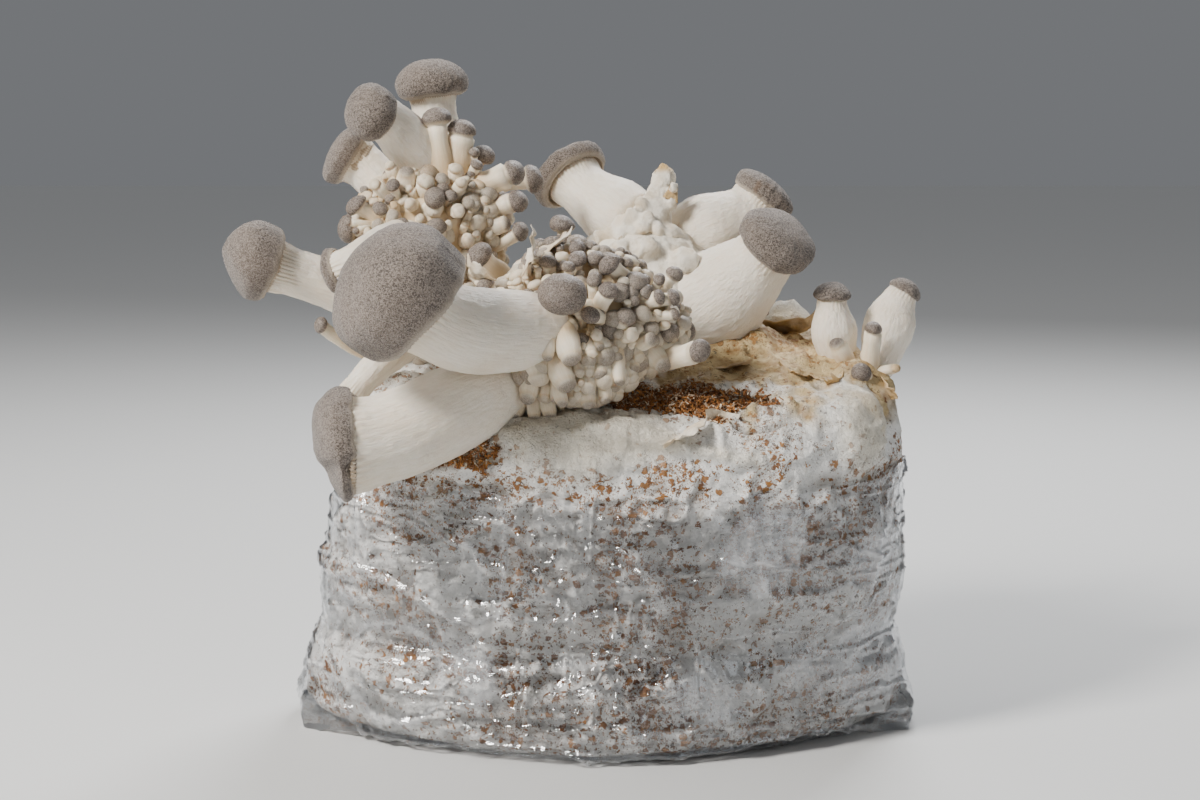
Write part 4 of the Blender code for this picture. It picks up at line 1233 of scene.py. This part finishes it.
def makeTornSkin():
    # small ragged sheets that start on the block or the clusters and curl away from them
    corners, sides = [], []
    for name in ("sawdustBlock", "myceliumMound", "abortedKnob", "frontCluster"):
        skin = bpy.data.objects[name].data
        sides += [tuple(len(corners) + k for k in p.vertices) for p in skin.polygons]
        corners += [v.co[:] for v in skin.vertices]
    near = BVHTree.FromPolygons(corners, sides)
    points, faces, ochre = [], [], []
    long, wide, thick = 22, 18, 0.35
    for number, (at, way, length, width, curl, yellow) in enumerate(tornSheets):
        found = near.find_nearest(Vector(np.array(at) * mm))
        root, up = np.array(found[0]), np.array(found[1])
        rng = np.random.default_rng(500 + number)
        way = unit(np.array(way) - up * (np.array(way) @ up))
        across = np.cross(way, up)
        u = np.linspace(0, 1, long)[:, None] * np.ones(wide)
        v = np.linspace(-1, 1, wide)[None] * np.ones((long, 1))
        side = np.stack([v * 1.6, v * 0, u * 0], axis=2).reshape(-1, 3)
        reach = 1 + 0.20 * roughNoise(side, 1.0, 600 + number, 3)
        u = u * reach.reshape(u.shape) * length
        half = width * 0.5 * (0.75 + 0.25 * np.cos(u / length * 2.2 + rng.uniform(0, 2)))
        turned = np.radians(curl) * np.clip(u / length, 0, 1.6) ** 1.4
        rise = u * np.sin(turned * 0.5) + 0.4
        along = u * np.cos(turned * 0.5)
        flat = np.stack([along, v * half, rise], axis=2).reshape(-1, 3)
        crumple = roughNoise(flat, 5.0, 620 + number, 3) * 1.1 + ridges(flat, 4.0, 640 + number) * 0.6
        flat[:, 2] += crumple * np.clip(flat[:, 0] / length + 0.25, 0, 1)
        world = root + (flat @ np.array([way, across, up])) * mm - up * 0.8 * mm
        lower = world - up * thick * mm
        for sheet in (world, lower):
            points += list(sheet)
            ochre += list(np.clip(yellow + 0.35 * softNoise(sheet, 4 * mm, 660 + number), 0, 1))
        first = np.arange(long * wide).reshape(long, wide) + len(points) - 2 * long * wide
        second = long * wide
        quads = np.stack([first[:-1, :-1], first[:-1, 1:], first[1:, 1:], first[1:, :-1]], axis=2)
        for quad in quads.reshape(-1, 4).tolist():
            faces += [quad, [quad[k] + second for k in (0, 3, 2, 1)]]
        border = [*first[0], *first[1:, -1], *first[-1, -2::-1], *first[-2:0:-1, 0]]
        for a, b in zip(border, border[1:] + border[:1]):
            faces.append([int(k) for k in (b, a, a + second, b + second)])
    thing = makeMesh("tornSkin", points, faces, dict(ochre=ochre))
    finishPiece(thing, surfaces["mycelium"], "mycelium")
    print("torn skin", len(faces), "faces")


makeSkin("myceliumMound", "mycelium_mound", "mycelium",
         dict(lumps=[((13, -2, 157), 5), ((26, -2, 153), 5), ((4, -1, 156), 4.5), ((36, 0, 147), 5)],
              voxel=1.0, ease=8, sink=5, wrinkle=4.5, height=1.0, seed=81, ochre=(2, 3), stain=0.5))
makeSkin("abortedKnob", "aborted_knob", "mycelium",
         dict(lumps=[((6, 8, 165), 3.6), ((2, 8, 163), 3.0), ((9, 6, 163), 3.0), ((12, 5, 165), 2.6),
                     ((5, 5, 162), 2.4), ((-2, 8, 161.5), 2.6), ((14, 6, 168), 2.2), ((9, 8, 168), 3.2),
                     ((17, 7, 164), 3.2), ((21, 9, 163), 3.8), ((24, 12, 162), 3.4), ((12, 10, 172), 2.4),
                     ((22, 13, 172), 2.6), ((23, 13, 177), 2.2)],
              voxel=0.6, ease=4, sink=1, wrinkle=4, height=0.55, seed=82, ochre=(0.80, 0.93), stain=0.45))
makeTornSkin()
print("mound, knob and torn skin made")


studio = dict(camera=(-2, -770, 201), tilt=7.0, lens=69.3, floorSize=6.0)


def makeStudio():
    half = studio["floorSize"]
    corners = [(-half, -half, 0), (half, -half, 0), (half, half, 0), (-half, half, 0)]
    floor = makeMesh("floor", corners, [(0, 1, 2, 3)], smooth=False)
    pale = newSurface("paleFloor", {"Base Color": (0.62, 0.62, 0.61), "Roughness": 0.7})[0]
    floor.data.materials.append(pale)
    world = bpy.data.worlds.new("softRoom")
    bpy.context.scene.world = world
    world.use_nodes = True
    sky = world.node_tree.nodes["Background"]
    sky.inputs["Color"].default_value = (0.86, 0.89, 0.94, 1)
    sky.inputs["Strength"].default_value = 0.20
    lamps = [("keyLight", "AREA", (-0.72, -0.62, 0.82), 0.28, 25.0, (1.0, 0.97, 0.93)),
             ("backLight", "AREA", (0.25, 0.70, 0.85), 0.40, 13.0, (0.97, 0.98, 1.0)),
             ("fillLight", "AREA", (0.85, -0.95, 0.40), 0.50, 1.6, (0.90, 0.95, 1.0)),
             ("roomLight", "SUN", (-0.40, 0.30, 0.90), 0.9, 0.35, (0.97, 0.98, 1.0))]
    for name, kind, at, size, power, colour in lamps:
        light = bpy.data.lights.new(name, kind)
        light.energy, light.color = power, colour
        if kind == "SUN":
            light.angle = size
        else:
            light.size = size
        lamp = placed(name, light)
        lamp.location = at
        lamp.rotation_euler = (Vector((0, 0, 0.1)) - lamp.location).to_track_quat("-Z", "Y").to_euler()
    view = bpy.data.cameras.new("studioCamera")
    view.lens, view.sensor_width, view.clip_end = studio["lens"], 36, 20
    camera = placed("studioCamera", view)
    camera.location = [v * mm for v in studio["camera"]]
    camera.rotation_euler = (math.radians(90 - studio["tilt"]), 0, 0)
    bpy.context.scene.camera = camera


makeStudio()
print("studio made")

bpy.context.view_layer.update()
